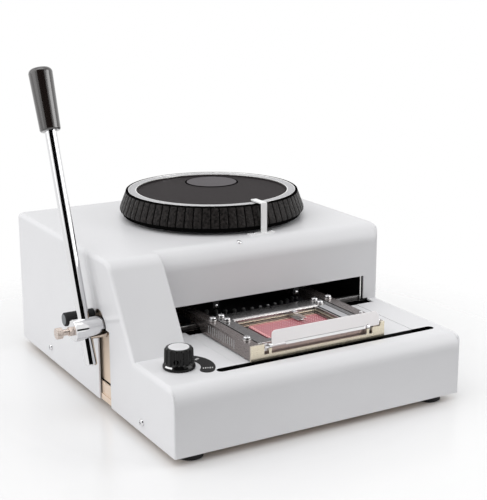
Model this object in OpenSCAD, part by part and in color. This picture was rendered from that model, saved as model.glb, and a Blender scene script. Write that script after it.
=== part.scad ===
// Hand-operated plastic card embosser: a character dial on top, a pull lever on the left,
// and a card carriage that runs through a window between two type wheels.
// Millimetres, +Z up, the floor at Z = 0, the operator sits at -Y. Modules are drawn about
// the housing's centre line and moved by at_body(), so the origin is under the whole object.

/* [Housing] */
// Width of the housing, left to right
body_w = 320; // [318:1:330]
// Depth of the housing, front to back
body_d = 390; // [388:1:400]
// Height of the housing's top above the table
body_h = 155; // [154:0.5:160]
// Height of the front deck above the table
deck_h = 71.5; // [71:0.1:72]
// Depth of the front deck, from the housing's front to the upper front face
deck_d = 140; // [139:0.5:142]
// Thickness of the housing's sheet steel
sheet = 1.5; // [1:0.1:2]
// Radius of the bend along the upper front edge
front_bend = 20; // [12:1:22]
// Radius of the bend along the deck's front edge
deck_bend = 16; // [8:1:20]
// Radius of the small bends along the sides
side_bend = 5; // [3:0.5:7]
// Width of the full-height shoulder on the left
pod_w = 58; // [57:0.5:59]
// How far the shoulder's slope reaches onto the deck
pod_toe = 55; // [45:1:60]
// Diameter of a foot
foot_d = 25; // [20:1:30]
// Height of a foot
foot_h = 8; // [6:0.5:10]

/* [Window and deck] */
// Height of the window above the deck
window_h = 26; // [26:0.5:30]
// Distance of the window's right end from the housing's right side
window_side = 19; // [16:0.5:20]
// Distance of the window's left end from the shoulder
window_gap = 4; // [2:0.5:6]
// Depth of the gap in the deck below the window
notch_d = 11; // [9:0.5:12]
// Width of the slot along the deck's front
slot_w = 9; // [8:0.5:10]
// How far the slot reaches beyond the window's right end
slot_over = 6; // [3:1:9]
// Distance from the housing's front to the slot's middle
slot_inset = 28; // [27:0.5:29]
// Distance of the loose deck table from the shoulder
table_in = 24; // [20:1:26]
// Distance of the loose deck table from the slot's right end
table_side = 23; // [19:1:27]

/* [Dial] */
// Distance of the dial's axis to the right of the centre line
dial_x = 23.4; // [20:0.1:26]
// Distance of the dial's axis behind the upper front face
dial_back = 127.2; // [127:0.1:129]
// Largest radius of the dial's ribbed rim
dial_r = 102; // [98:0.5:103]
// Radius of the dial's top edge
dial_top_r = 94; // [92:0.5:95]
// Height of the dial
dial_h = 26.5; // [22:0.5:30]
// Gap between the housing and the dial
dial_gap = 3.3; // [2.5:0.1:5]
// Radius of the sunk black disc
disc_r = 83.5; // [80:0.5:85]
// Radius of the bare badge on the disc
badge_r = 28.5; // [20:0.5:32]
// Number of characters, and of ribs, punches and dies
characters = 68; // [60:4:72]
// Radius of the circle of punches and dies
type_r = 105; // [104:0.5:106]
// Radius of the spindle
spindle_r = 8; // [7:0.5:9]

/* [Lever] */
// Angle at which the lever leans back at rest
lever_lean = 21; // [18:1:22]
// Travel of the lever
lever_throw = 75; // [60:1:75]
// Radius of the lever's rod
rod_r = 6; // [5:0.5:6.5]
// Length of the lever above its shaft
lever_up = 260; // [220:5:300]
// Length of the rod below its shaft
lever_down = 36; // [30:1:38]
// Length of the grip
grip_l = 63; // [50:1:80]
// Radius of the grip's upper end
grip_r = 12; // [10:0.5:13]
// Radius of the hub on the shaft's end
hub_r = 11; // [10.5:0.25:11.5]
// Length of the hub outside the left wall
hub_out = 29; // [28:0.5:30]
// How far the thumb screw's head stands out from the left wall
screw_out = 46; // [46:0.5:50]
// Radius of the lever's shaft
shaft_r = 8; // [7.5:0.25:8.5]
// Height of the shaft above the deck
shaft_rise = 14.5; // [14:0.1:15]
// Distance of the shaft behind the upper front face
shaft_back = 19; // [18.5:0.1:19.5]
// Radius of the rubber stop
stop_r = 6.8; // [6:0.1:7]

/* [Press] */
// Gear module
gear_m = 1.5; // [1.49:0.01:1.51]
// Teeth on the shaft's gear
main_teeth = 36; // [35:1:37]
// Teeth on each cam shaft's gear
cam_teeth = 23; // [23:1:24]
// Width of the gears
gear_w = 10; // [8:0.5:12]
// Travel of the ram and of the anvil
press_travel = 3.9; // [3:0.1:3.9]
// Radius of a cam shaft
cam_shaft_r = 6; // [5.5:0.25:6.5]
// Smallest radius of a cam
cam_r = 8; // [7.5:0.25:8]
// Radius of the ram and the anvil
ram_r = 5; // [4:0.25:6]

/* [Carriage] */
// Left side of the carriage at rest
carriage_left = -65; // [-66:0.5:-64]
// Right side of the carriage at rest
carriage_right = 87.5; // [86:0.5:88]
// Height of the carriage's top above the deck
carriage_h = 15.7; // [15.5:0.1:16]
// Travel of the card frame towards the back
travel_in = 100; // [80:1:104]
// Left edge of the card window in the card frame
card_left = -41; // [-42:0.5:-40]
// Right edge of the card window
card_right = 55.5; // [54:0.5:56]
// Front edge of the card window, from the carriage's front
card_front = 14; // [12:0.5:16]
// Rear edge of the card window, from the carriage's front
card_back = 74; // [70:0.5:76]
// Height of the upright flap above the carriage
flap_h = 11.8; // [8:0.2:14]
// Teeth on the feed pinion
pinion_teeth = 18; // [18:1:20]

/* [Spacing knob] */
// Distance of the knob from the housing's left side
knob_side = 32; // [30:0.5:34]
// Distance of the knob from the housing's front
knob_inset = 53; // [50:1:56]
// Radius of the knob's skirt
knob_r = 15.4; // [14:0.2:16]
// Height of the knob
knob_h = 19.5; // [16:0.5:24]

/* [Hidden] */
$fn = 64;

// Colours, as they show on the object
grey = [0.86, 0.86, 0.88];
cream = [0.82, 0.76, 0.66];
steel = [0.66, 0.66, 0.68];
chrome = [0.80, 0.80, 0.82];
brass = [0.74, 0.62, 0.42];
black = [0.08, 0.08, 0.09];
dark = [0.30, 0.29, 0.29];
red = [0.75, 0.25, 0.30];

// Clearances
run = 0.05;      // radial play of a shaft in its bearing
free = 0.3;      // gap between pieces that move past each other
seam = 0.2;      // gap round the loose deck table

// Housing
left_x = -body_w / 2;
right_x = body_w / 2;
front_y = -body_d / 2;
rear_y = body_d / 2;
face_y = front_y + deck_d;
cover_screw_h = 2.3;
body_x = (screw_out - cover_screw_h) / 2;  // puts the origin under the middle of the whole object
pod_x = left_x + pod_w;
shaft_z = deck_h + shaft_rise;
window_left = pod_x + window_gap;
window_right = right_x - window_side;
slot_left = pod_x;
slot_right = window_right + slot_over;
table_left = pod_x + table_in;
table_right = slot_right - table_side;
rear_bend = 6;
corner_r = 4;
bend_steps = 10;
base_t = 6;
base_top = foot_h + base_t;
base_gap = 0.3;
foot_seat = 3;
foot_inset_x = 24;
foot_inset_y = 18;
foot_back_y = 54;
foot_spots = [for (x = [left_x + foot_inset_x, right_x - foot_inset_x],
        y = [front_y + foot_inset_y, rear_y - foot_back_y]) [x, y]];

// Side plates and the bridge over them
plate_t = 6;
plate_gap = 5;
left_plate_x = left_x + plate_gap;
right_plate_x = right_x - plate_gap - plate_t;
plate_front = face_y + 6;
plate_back = face_y + 175;
bridge_t = 4;
bridge_gap = 3.5;
bridge_z = body_h - sheet - bridge_gap - bridge_t;
bridge_front = face_y + 19;
inner_x = pod_x - 10;                      // inner bearing wall, left face
inner_back = face_y + 55;

// Dial and type wheels
dial_y = face_y + dial_back;
dial_z = body_h + dial_gap;
dial_top = dial_z + dial_h;
type_y = dial_y - type_r;                  // where the press strikes
wheel_rim = 6;
wheel_r = type_r + wheel_rim;
punch_r = 1.8;
punch_head_r = 2.3;
punch_tip_z = shaft_z + 6.7;
punch_wheel_z = punch_tip_z + 2.3;
punch_wheel_t = 12;
punch_top = punch_wheel_z + punch_wheel_t + 3;
die_top = shaft_z - 8.6;
die_wheel_t = 10;
die_wheel_z = die_top - 4.5 - die_wheel_t;
die_bottom = die_wheel_z - 2;
hub_wheel_r = 16;
index_r = 60;
index_t = 4;
index_z = punch_top + 8;
index_notch = 1.6;
roller_r = 2.4;
post_r = 5;
post_dx = 84;                              // detent post, right of the dial's axis
post_dy = 30;                              // and behind it

// Press train: one gear on the lever's shaft turns a cam shaft above and one below
shaft_y = face_y + shaft_back;
pitch_main = gear_m * main_teeth / 2;
pitch_cam = gear_m * cam_teeth / 2;
centres = pitch_main + pitch_cam;
cam_dy = type_y - shaft_y;
cam_dz = sqrt(centres * centres - cam_dy * cam_dy);
upper_z = shaft_z + cam_dz;
lower_z = shaft_z - cam_dz;
cam_throw = lever_throw * main_teeth / cam_teeth;
cam_gap = 0.6;
gear_x = left_x + 24;
cam_w = 14;
head_w = 32;
head_cheek = 6.4;
head_front = 13;                           // press heads, in front of the strike line
head_back = 12.8;
ram_top = upper_z - cam_r - cam_gap;
ram_bottom = punch_top + free + press_travel;
anvil_bottom = lower_z + cam_r + cam_gap;
anvil_top = die_bottom - free - press_travel;
web_t = 5;
anvil_head_z = die_bottom - 1.5;

// Lever
rod_x = left_x - 16;
hub_end = left_x - hub_out;
hub_start = left_x + 2.7;
screw_end = left_x - screw_out;
hub_socket = 10.7;
screw_r = 3;
screw_head_r = 5.6;
nut_r = 4.9;
screw_head_l = 6;
nut_l = 4.2;
hole_r = 15.5;
hole_y = shaft_y - 1.5;
wall_slot_front = shaft_y - 21;
wall_slot_back = shaft_y + 7;
stop_gap = 0.3;
stop_side = rod_r + stop_r + stop_gap;
stop_up = sqrt(pow(hub_r + stop_r + 0.4, 2) - stop_side * stop_side);
stop_y = shaft_y + stop_up * sin(lever_lean) + stop_side * cos(lever_lean);
stop_z = shaft_z + stop_up * cos(lever_lean) - stop_side * sin(lever_lean);
stop_end = rod_x - 15;
stud_r = 2.5;
arm_x = left_x + 14;
arm_w = 5;
arm_l = 22;
pin_r = 2.5;
spring_r = 4;
anchor_z = 34;

// Deck, slot and carriage
slot_y = front_y + slot_inset;
slot_front = slot_y - slot_w / 2;
slot_back = slot_y + slot_w / 2;
table_front = slot_back + seam;
table_back = face_y - notch_d - seam;
table_t = 1.5;
carriage_top = deck_h + carriage_h;
carriage_front_y = slot_back - 2.5;        // front face of the carriage
front_t = 2;
bar_w = 11;
right_bar_w = 12;
bar_bottom = deck_h + 1.5;
bar_relief = die_top + 1.5;                // underside of the bars above the dies and the rail
frame_l = 98;
frame_back = carriage_front_y + frame_l;
tie_w = 5;
bar_end = frame_back + travel_in + tie_w + 6;
rail_y = face_y + sheet + 2.5;
rail_w = 5;
rail_bottom = deck_h - 1.5;
rail_top = deck_h + 4.5;
glide_r = 2;
rack_z = deck_h - 21.5;                    // pitch line of the feed rack
rack_w = 4.7;
rack_top = rack_z + 8;
pitch_pinion = gear_m * pinion_teeth / 2;
pinion_z = rack_z - pitch_pinion;
pinion_x = 20;
drum_r = pinion_z - base_top - 2.5;
arbor_r = 3;
lip_top = deck_h + 5.5;
upright_w = 14.5;

// Card frame, inside the bars
frame_left = carriage_left + bar_w + free;
frame_right = carriage_right - right_bar_w - free;
frame_front = carriage_front_y + front_t + 3;
frame_bottom = bar_relief + 1;
card_l = 85.6;
card_w = 54;
card_t = 0.8;
ledge = 3;
ledge_t = 0.7;
guide_x = card_right + 1 - card_l;         // left edge of the guide plate
flap_t = 1.2;
flap_left = carriage_left + 23;
flap_right = carriage_right - 6;
flap_corner = 4;
flap_front = carriage_front_y + 0.4;
hinge_r = 0.9;
hinge_y = flap_front + flap_t / 2;
hinge_z = carriage_top - 2.7;
lug_t = 3;
lug_r = 2;
lug_gap = 0.4;
lug_spots = [flap_left - lug_gap - lug_t, carriage_right - upright_w - lug_gap - lug_t - 3.4];

// Spacing knob
kx = left_x + knob_side;
ky = front_y + knob_inset;
knob_z = deck_h + 0.7;
label_in = 20;
label_out = 33.5;
label_t = 0.4;

// Points on an arc, in degrees
function arc(x, y, r, a0, a1, n = bend_steps) =
    [for (i = [0:n]) let (a = a0 + (a1 - a0) * i / n) [x + r * cos(a), y + r * sin(a)]];

// Rectangle with its own radius at each corner: lower left, lower right, upper right, upper left
function round_box(x0, y0, x1, y1, r) = concat(
    r[0] > 0 ? arc(x0 + r[0], y0 + r[0], r[0], 180, 270) : [[x0, y0]],
    r[1] > 0 ? arc(x1 - r[1], y0 + r[1], r[1], 270, 360) : [[x1, y0]],
    r[2] > 0 ? arc(x1 - r[2], y1 - r[2], r[2], 0, 90) : [[x1, y1]],
    r[3] > 0 ? arc(x0 + r[3], y1 - r[3], r[3], 90, 180) : [[x0, y1]]);

// Involute gear outline, one tooth centred on angle 0
pressure = 20;
backlash = 0.12;
flank_steps = 5;
function involute(a) = tan(a) * 180 / PI - a;
function tooth_half(teeth, r) = let (pitch = gear_m * teeth / 2, base = pitch * cos(pressure))
    90 / teeth - backlash * 90 / PI / pitch + involute(pressure)
        - involute(acos(min(1, base / r)));
function gear_points(teeth) = let (
        pitch = gear_m * teeth / 2,
        root = pitch - 1.25 * gear_m,
        start = max(root, pitch * cos(pressure) + 0.001),
        tip = pitch + gear_m)
    [for (i = [0:teeth - 1], side = [-1, 1], k = [0:flank_steps + 1])
        let (step = side < 0 ? k : flank_steps + 1 - k,
            r = step == 0 ? root : start + (tip - start) * (step - 1) / flank_steps,
            a = i * 360 / teeth + side * tooth_half(teeth, max(r, start)))
        [r * cos(a), r * sin(a)]];

module gear(teeth, width, phase) linear_extrude(width) rotate(phase) polygon(gear_points(teeth));

// Everything is drawn about the housing's centre line
module at_body() translate([body_x, 0, 0]) children();

// A box from one corner to the other
module span(a, b) translate(a) cube(b - a);

// A cylinder along +X, from x0 to x1
module rod_along_x(x0, x1, y, z, r) translate([x0, y, z]) rotate([0, 90, 0]) cylinder(r = r, h = x1 - x0);

// A profile in Y and Z, drawn from x0 to x1
module along_x(x0, x1) translate([x0, 0, 0]) rotate([90, 0, 90]) linear_extrude(x1 - x0) children();

// A profile in X and Z, drawn from y0 to y1
module along_y(y0, y1) translate([0, y1, 0]) rotate([90, 0, 0]) linear_extrude(y1 - y0) children();

// ---- Housing ----

// Slope of the shoulder, as the shift in Y for each unit of Z
pod_top_y = face_y + 3;
pod_slope = (pod_top_y - (face_y - pod_toe)) / (body_h - deck_h);

// The housing's outer solid, or with an inset the space inside its sheet
module housing_solid(inset) {
    x0 = left_x + inset;
    x1 = right_x - inset;
    y0 = front_y + inset;
    y1 = rear_y - inset;
    z0 = foot_h - (inset > 0 ? 1 : 0);
    side = side_bend - inset;
    slope_shift = inset * sqrt(1 + pod_slope * pod_slope);
    top_z = body_h - inset;
    pod_y = pod_top_y + slope_shift - inset * pod_slope;
    toe_y = pod_y - (top_z - z0) * pod_slope;
    intersection() {
        along_x(x0, x1) polygon(round_box(face_y + inset, z0, y1, top_z,
            [0, 0, rear_bend - inset, front_bend - inset]));
        along_y(y0, y1) polygon(round_box(x0, z0, x1, top_z, [0, 0, side, side]));
    }
    intersection() {
        along_x(x0, x1) polygon(round_box(y0, z0, y1, deck_h - inset,
            [0, 0, 0, deck_bend - inset]));
        along_y(y0, y1) polygon(round_box(x0, z0, x1, deck_h - inset, [0, 0, side, side]));
        translate([0, 0, z0]) linear_extrude(body_h)
            polygon(round_box(x0, y0, x1, y1, [corner_r - inset, corner_r - inset, 0, 0]));
    }
    intersection() {
        along_x(x0, pod_x - inset) polygon([[pod_y, top_z], [toe_y, z0],
            [face_y + front_bend + 5, z0], [face_y + front_bend + 5, top_z]]);
        along_y(y0, y1) polygon(round_box(x0, z0, x1 + 1, top_z, [0, 0, 0, side]));
    }
}

cover_screw_spots = [[plate_back - 17, foot_h + 14], [front_y + 67, foot_h + 11]];

module cover() color(grey) at_body() difference() {
    housing_solid(0);
    housing_solid(sheet);
    // window and the gap in the deck below it
    span([window_left, face_y - 2, deck_h - 2], [window_right, face_y + 3, deck_h + window_h]);
    span([table_left - seam, face_y - notch_d, deck_h - 5], [slot_right, face_y + 3, deck_h + 1.5]);
    // slot along the front, and the place of the loose table
    translate([0, 0, deck_h - 5]) linear_extrude(10) polygon(round_box(slot_left, slot_front,
        slot_right, slot_back, [for (i = [0:3]) slot_w / 2 - 0.01]));
    span([table_left - seam, slot_y, deck_h - 5], [table_right + seam, face_y - notch_d + 1, deck_h + 5]);
    // shaft hole and open slot in the left wall, stop and screw holes
    rod_along_x(left_x - 1, left_x + 4, hole_y, shaft_z, hole_r);
    span([left_x - 1, wall_slot_front, 0], [left_x + 4, wall_slot_back, shaft_z]);
    rod_along_x(left_x - 1, left_x + 4, stop_y, stop_z, stud_r + run);
    for (s = cover_screw_spots) {
        rod_along_x(left_x - 1, left_x + 4, s[0], s[1], 2.1);
        rod_along_x(right_x - 4, right_x + 1, s[0], s[1], 2.1);
    }
    translate([dial_x, dial_y, body_h - 5]) cylinder(r = spindle_r + 14, h = 10);
    translate([kx, ky, deck_h - 5]) cylinder(r = 5, h = 10);
}

module base_plate() color(cream) at_body() difference() {
    edge = sheet + base_gap;
    translate([0, 0, foot_h]) linear_extrude(base_t) polygon(round_box(left_x + edge, front_y + edge,
        right_x - edge, rear_y - edge, [corner_r, corner_r, 0, 0]));
    for (f = foot_spots) translate([f[0], f[1], foot_h - 1]) cylinder(r = 2.5, h = base_t + 2);
}

module feet() color(black) at_body() for (f = foot_spots) translate([f[0], f[1], 0])
    rotate_extrude() polygon([[2.6, foot_seat], [5.5, foot_seat], [5.5, 0], [foot_d / 2 - 1, 0],
        [foot_d / 2, 1], [foot_d / 2 - 1.5, foot_h], [2.6, foot_h]]);

module foot_screws() color(steel) at_body() for (f = foot_spots) translate([f[0], f[1], foot_seat]) {
    translate([0, 0, -2]) cylinder(r = 4.8, h = 1.98);
    translate([0, 0, -0.1]) cylinder(r = 2.4, h = base_top - foot_seat);
}

module cover_lugs() color(cream) at_body() for (side = [-1, 1], s = cover_screw_spots)
    scale([side, 1, 1]) difference() {
        span([right_plate_x + plate_t, s[0] - 6, base_top], [right_x - sheet - 0.05, s[0] + 6, s[1] + 6]);
        rod_along_x(right_x - 12, right_x, s[0], s[1], 2);
    }

module cover_screws() color(chrome) at_body() for (side = [-1, 1], s = cover_screw_spots)
    scale([side, 1, 1]) difference() {
        union() {
            rod_along_x(right_plate_x + plate_t + 0.2, right_x + 0.1, s[0], s[1], 1.95);
            translate([right_x, s[0], s[1]]) rotate([0, 90, 0])
                rotate_extrude() polygon(concat([[0, 0], [3.5, 0]], arc(1.5, cover_screw_h - 2, 2, 0, 80, 5), [[0, cover_screw_h]]));
        }
        span([right_x + 1.4, s[0] - 2.4, s[1] - 0.4], [right_x + 3, s[0] + 2.4, s[1] + 0.4]);
        span([right_x + 1.4, s[0] - 0.4, s[1] - 2.4], [right_x + 3, s[0] + 0.4, s[1] + 2.4]);
    }

module deck_table() color(grey) at_body() {
    span([table_left, table_front, deck_h - table_t], [table_right, table_back, deck_h]);
    span([table_left, table_front, deck_h - 12], [table_right, table_front + table_t, deck_h]);
    for (x = [table_left, table_right - table_t])
        span([x, table_front, base_top], [x + table_t, table_back, deck_h]);
}

// ---- Frame ----

module side_plate(x) span([x, plate_front, base_top], [x + plate_t, plate_back, bridge_z]);

module left_frame() color(cream) at_body() difference() {
    side_plate(left_plate_x);
    rod_along_x(left_plate_x - 1, left_plate_x + plate_t + 1, shaft_y, shaft_z, shaft_r + 3);
    rod_along_x(left_plate_x - 1, left_plate_x + plate_t + 1, stop_y, stop_z, stud_r);
}

module right_frame() color(cream) at_body() side_plate(right_plate_x);

module inner_wall() color(cream) at_body() difference() {
    span([inner_x, plate_front, base_top], [inner_x + plate_t, inner_back, bridge_z]);
    rod_along_x(inner_x - 1, inner_x + plate_t + 1, shaft_y, shaft_z, shaft_r + 3);
    for (z = [upper_z, lower_z])
        rod_along_x(inner_x - 1, inner_x + plate_t + 1, type_y, z, cam_shaft_r + 2.5);
}

module upper_bridge() color(cream) at_body() difference() {
    translate([0, 0, bridge_z]) linear_extrude(bridge_t) polygon([
        [inner_x, bridge_front], [right_plate_x + plate_t, bridge_front],
        [right_plate_x + plate_t, plate_back], [left_plate_x, plate_back],
        [left_plate_x, inner_back - 6], [inner_x, inner_back - 6]]);
    translate([dial_x, dial_y, bridge_z - 1]) cylinder(r = spindle_r + 5, h = bridge_t + 2);
    translate([dial_x + post_dx, dial_y + post_dy, bridge_z - 1]) cylinder(r = 2.6, h = bridge_t + 2);
}

module press_head(z0, z1, cam_z, web_z, cavity_z0, cavity_z1) {
    x0 = dial_x - head_w / 2;
    x1 = dial_x + head_w / 2;
    difference() {
        span([x0, type_y - head_front, z0], [x1, type_y + head_back, z1]);
        span([x0 + head_cheek, type_y - head_front - 1, cavity_z0],
            [x1 - head_cheek, type_y + head_back + 1, cavity_z1]);
        rod_along_x(x0 - 1, x1 + 1, type_y, cam_z, cam_shaft_r + run);
        translate([dial_x, type_y, web_z - 1]) cylinder(r = ram_r + run, h = web_t + 4);
    }
}

// Under the bridge: the ram runs in its lower web
module upper_press_head() color(dark) at_body()
    press_head(punch_top + 3, bridge_z, upper_z, punch_top + 2, punch_top + 3 + web_t, bridge_z + 1);

// On the base: the anvil runs in its upper web
module lower_press_head() color(dark) at_body()
    press_head(base_top, anvil_head_z, lower_z, anvil_head_z - web_t - 1, base_top + 12, anvil_head_z - web_t);

module bush(x, y, z, inner, outer, length) translate([x, y, z]) rotate([0, 90, 0]) difference() {
    union() {
        cylinder(r = outer - 0.02, h = length);
        translate([0, 0, length]) cylinder(r = outer + 2, h = 1.5);
    }
    translate([0, 0, -1]) cylinder(r = inner + run, h = length + 4);
}

module bushes() color(brass) at_body() {
    bush(left_plate_x, shaft_y, shaft_z, shaft_r, shaft_r + 3, plate_t);
    translate([2 * inner_x + plate_t, 0, 0]) mirror([1, 0, 0]) {
        bush(inner_x, shaft_y, shaft_z, shaft_r, shaft_r + 3, plate_t);
        for (z = [upper_z, lower_z]) bush(inner_x, type_y, z, cam_shaft_r, cam_shaft_r + 2.5, plate_t);
    }
}

// A flanged bush in the bridge, and a footstep bearing on the base
module spindle_bearings() color(brass) at_dial() {
    rotate_extrude() polygon([[spindle_r + run, bridge_z - 4], [spindle_r + 8, bridge_z - 4],
        [spindle_r + 8, bridge_z], [spindle_r + 4.98, bridge_z], [spindle_r + 4.98, bridge_z + bridge_t],
        [spindle_r + run, bridge_z + bridge_t]]);
    translate([0, 0, base_top]) rotate_extrude() polygon([[0, 0], [spindle_r + 14, 0],
        [spindle_r + 14, 4], [spindle_r + 5, 5], [spindle_r + 5, 24], [spindle_r + run, 24],
        [spindle_r + run, 6], [0, 6]]);
}

module window_guard() color(black) at_body() {
    span([window_right - 3.5, rail_y - 2.1, rail_bottom], [right_plate_x, rail_y - 0.6, deck_h + window_h + 6]);
    span([window_right - 3.5, rail_y - 2.1, deck_h + window_h + 1],
        [right_plate_x + plate_t, plate_front, deck_h + window_h + 6]);
}

module carriage_rail() color(steel) at_body()
    span([inner_x + plate_t, rail_y, rail_bottom], [right_plate_x, rail_y + rail_w, rail_top]);

module drum_bracket() color(steel) at_body() difference() {
    for (y = [front_y + sheet + 2, carriage_front_y + 14])
        span([pinion_x - 12, y, base_top], [pinion_x + 12, y + 3, pinion_z + 9]);
    translate([pinion_x, rear_y, pinion_z]) rotate([90, 0, 0]) cylinder(r = arbor_r + run, h = body_d);
}

module spring_anchor() color(steel) at_body()
    translate([arm_x + arm_w / 2, shaft_y + arm_l, base_top]) cylinder(r = 5, h = anchor_z - base_top - 0.3);

// ---- Lever ----

// Stands along the lever at rest, with Z = 0 on the shaft's axis
module at_lever() translate([rod_x, shaft_y, shaft_z]) rotate([-lever_lean, 0, 0]) children();

module lever_rod() color(chrome) at_body() at_lever() rotate_extrude()
    polygon([[0, -lever_down], [rod_r - 1, -lever_down], [rod_r, 1 - lever_down],
        [rod_r, lever_up - grip_l + 16], [0, lever_up - grip_l + 16]]);

module lever_grip() color(black) at_body() at_lever() rotate_extrude()
    polygon(concat([[rod_r + 0.03, lever_up - grip_l], [grip_r - 2.4, lever_up - grip_l],
        [grip_r - 1.6, lever_up - grip_l + 1.2]],
        arc(grip_r - 5, lever_up - 5, 5, 0, 80, 6),
        [[0, lever_up], [0, lever_up - grip_l + 16.1], [rod_r + 0.03, lever_up - grip_l + 16.1]]));

module lever_hub() color(chrome) at_body() difference() {
    translate([hub_end, shaft_y, shaft_z]) rotate([0, 90, 0]) rotate_extrude()
        polygon([[0, 0], [hub_r - 0.8, 0], [hub_r, 0.8], [hub_r, hub_start - hub_end], [0, hub_start - hub_end]]);
    rod_along_x(hub_start - hub_socket, hub_start + 1, shaft_y, shaft_z, shaft_r + 0.03);
    rod_along_x(hub_end - 1, rod_x, shaft_y, shaft_z, screw_r + 0.05);
    at_lever() translate([0, 0, -50]) cylinder(r = rod_r + 0.05, h = 100);
}

module thumb_screw() color(brass) at_body() {
    rod_along_x(screw_end, rod_x - rod_r - 0.1, shaft_y, shaft_z, screw_r);
    translate([screw_end, shaft_y, shaft_z]) rotate([0, 90, 0]) linear_extrude(screw_head_l) polygon(
        [for (i = [0:59]) let (r = screw_head_r - (i % 2) * 0.35) [r * cos(i * 6), r * sin(i * 6)]]);
}

module lock_nut() color(brass) at_body() difference() {
    translate([hub_end - nut_l - 0.1, shaft_y, shaft_z]) rotate([0, 90, 0])
        rotate(15) cylinder(r = nut_r, h = nut_l, $fn = 6);
    rod_along_x(hub_end - 20, hub_end + 1, shaft_y, shaft_z, screw_r + 0.05);
}

module main_shaft() color(steel) at_body()
    rod_along_x(hub_start - hub_socket + 0.2, inner_x + plate_t + 1.5, shaft_y, shaft_z, shaft_r);

// Direction from the lever's shaft to the upper cam shaft, and the phases that mesh the gears
mesh_a = atan2(cam_dz, cam_dy);
main_phase = mesh_a;
upper_phase = mesh_a + 180 + 180 / cam_teeth;
lower_lag = (2 * mesh_a) % (360 / main_teeth);
lower_phase = 180 - mesh_a - lower_lag * main_teeth / cam_teeth + 180 / cam_teeth;

module main_gear() color(steel) at_body() translate([gear_x, shaft_y, shaft_z]) rotate([90, 0, 90])
    difference() {
        gear(main_teeth, gear_w, main_phase);
        translate([0, 0, -1]) cylinder(r = shaft_r + 0.03, h = gear_w + 2);
    }

module spring_arm() color(steel) at_body() difference() {
    union() {
        translate([arm_x, shaft_y, shaft_z]) rotate([90, 0, 90]) linear_extrude(arm_w)
            polygon(concat(arc(0, 0, shaft_r + 4, 22, 338, 20), arc(arm_l, 0, pin_r + 2, -90, 90, 8)));
        rod_along_x(arm_x, arm_x + arm_w, shaft_y + arm_l, shaft_z, pin_r);
    }
    rod_along_x(arm_x - 1, arm_x + arm_w + 1, shaft_y, shaft_z, shaft_r + 0.03);
}

module return_spring() color(steel) at_body() translate([arm_x + arm_w / 2, shaft_y + arm_l, anchor_z])
    cylinder(r = spring_r, h = shaft_z - pin_r - 2 - free - anchor_z);

// A cam whose radius rises evenly over the throw and falls back after it
function cam_radius(a) = a <= cam_throw ? cam_r + press_travel * a / cam_throw
    : a <= cam_throw + 60 ? cam_r + press_travel * (1 - (a - cam_throw) / 60) : cam_r;

module camshaft(z, phase, start) {
    rod_along_x(gear_x - 4, dial_x + head_w / 2 + 1, type_y, z, cam_shaft_r);
    translate([gear_x, type_y, z]) rotate([90, 0, 90]) gear(cam_teeth, gear_w, phase);
    translate([dial_x - cam_w / 2, type_y, z]) rotate([90, 0, 90]) linear_extrude(cam_w) polygon(
        [for (a = [0:4:356]) [cam_radius(a) * cos(start + a), cam_radius(a) * sin(start + a)]]);
}

module upper_camshaft() color(steel) at_body() camshaft(upper_z, upper_phase, -90);
module lower_camshaft() color(steel) at_body() camshaft(lower_z, lower_phase, 90);

module ram() color(chrome) at_body() translate([dial_x, type_y, ram_bottom])
    cylinder(r = ram_r, h = ram_top - ram_bottom);
module anvil() color(chrome) at_body() translate([dial_x, type_y, anvil_bottom])
    cylinder(r = ram_r, h = anvil_top - anvil_bottom);

module stop_stud() color(steel) at_body()
    rod_along_x(stop_end + 6, left_plate_x + plate_t, stop_y, stop_z, stud_r - 0.02);

module stop_rubber() color(dark) at_body() difference() {
    translate([stop_end, stop_y, stop_z]) rotate([0, 90, 0]) rotate_extrude()
        polygon([[0, 0], [stop_r - 1, 0], [stop_r, 1], [stop_r, left_x - 0.2 - stop_end], [0, left_x - 0.2 - stop_end]]);
    rod_along_x(stop_end + 5.9, left_x + 1, stop_y, stop_z, stud_r);
}

// ---- Dial and type wheels ----

module at_dial() at_body() translate([dial_x, dial_y, 0]) children();

rim_in = disc_r + 4.6;
rib_w = 2 * PI * dial_r / characters;
rim_band = 4;

module dial_rim() color(black) at_dial() difference() {
    rotate_extrude($fn = 136) polygon([[rim_in, dial_z], [dial_r - 3.5, dial_z], [dial_r - 2.5, dial_z + rim_band],
        [dial_r, dial_z + rim_band + 0.5], [dial_r - 0.3, dial_z + 8], [dial_top_r + 1.2, dial_top - 2],
        [dial_top_r + 0.3, dial_top - 0.7], [disc_r, dial_top - 0.7], [disc_r, dial_top - 2.2],
        [rim_in, dial_top - 2.2]]);
    for (i = [0:characters - 1]) rotate((i + 0.5) * 360 / characters) along_y(-0.7, 0.7) polygon([
        [dial_r - 1.6, dial_z + rim_band + 1], [dial_r - 1.9, dial_z + 8], [dial_top_r - 0.2, dial_top - 2.6],
        [dial_r + 2, dial_top - 2.6], [dial_r + 2, dial_z + rim_band + 1]]);
}

module dial_scale_ring() color(chrome) at_dial() translate([0, 0, dial_top - 0.7]) difference() {
    cylinder(r = dial_top_r - 0.2, h = 0.7, $fn = 136);
    translate([0, 0, -1]) cylinder(r = disc_r, h = 3, $fn = 136);
}

module dial_disc() color(black) at_dial() rotate_extrude($fn = 96) polygon([
    [spindle_r + 0.03, dial_z + 4], [spindle_r + 10, dial_z + 4], [spindle_r + 10, dial_top - 5.8],
    [rim_in - 0.05, dial_top - 5.8], [rim_in - 0.05, dial_top - 2.25], [0, dial_top - 2.25],
    [0, dial_top - 4.3], [spindle_r + 0.03, dial_top - 4.3]]);

module dial_badge() color(dark) at_dial() rotate(61.7) translate([disc_r * 0.57, 0, dial_top - 2.25])
    cylinder(r = badge_r, h = 0.6);

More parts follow.
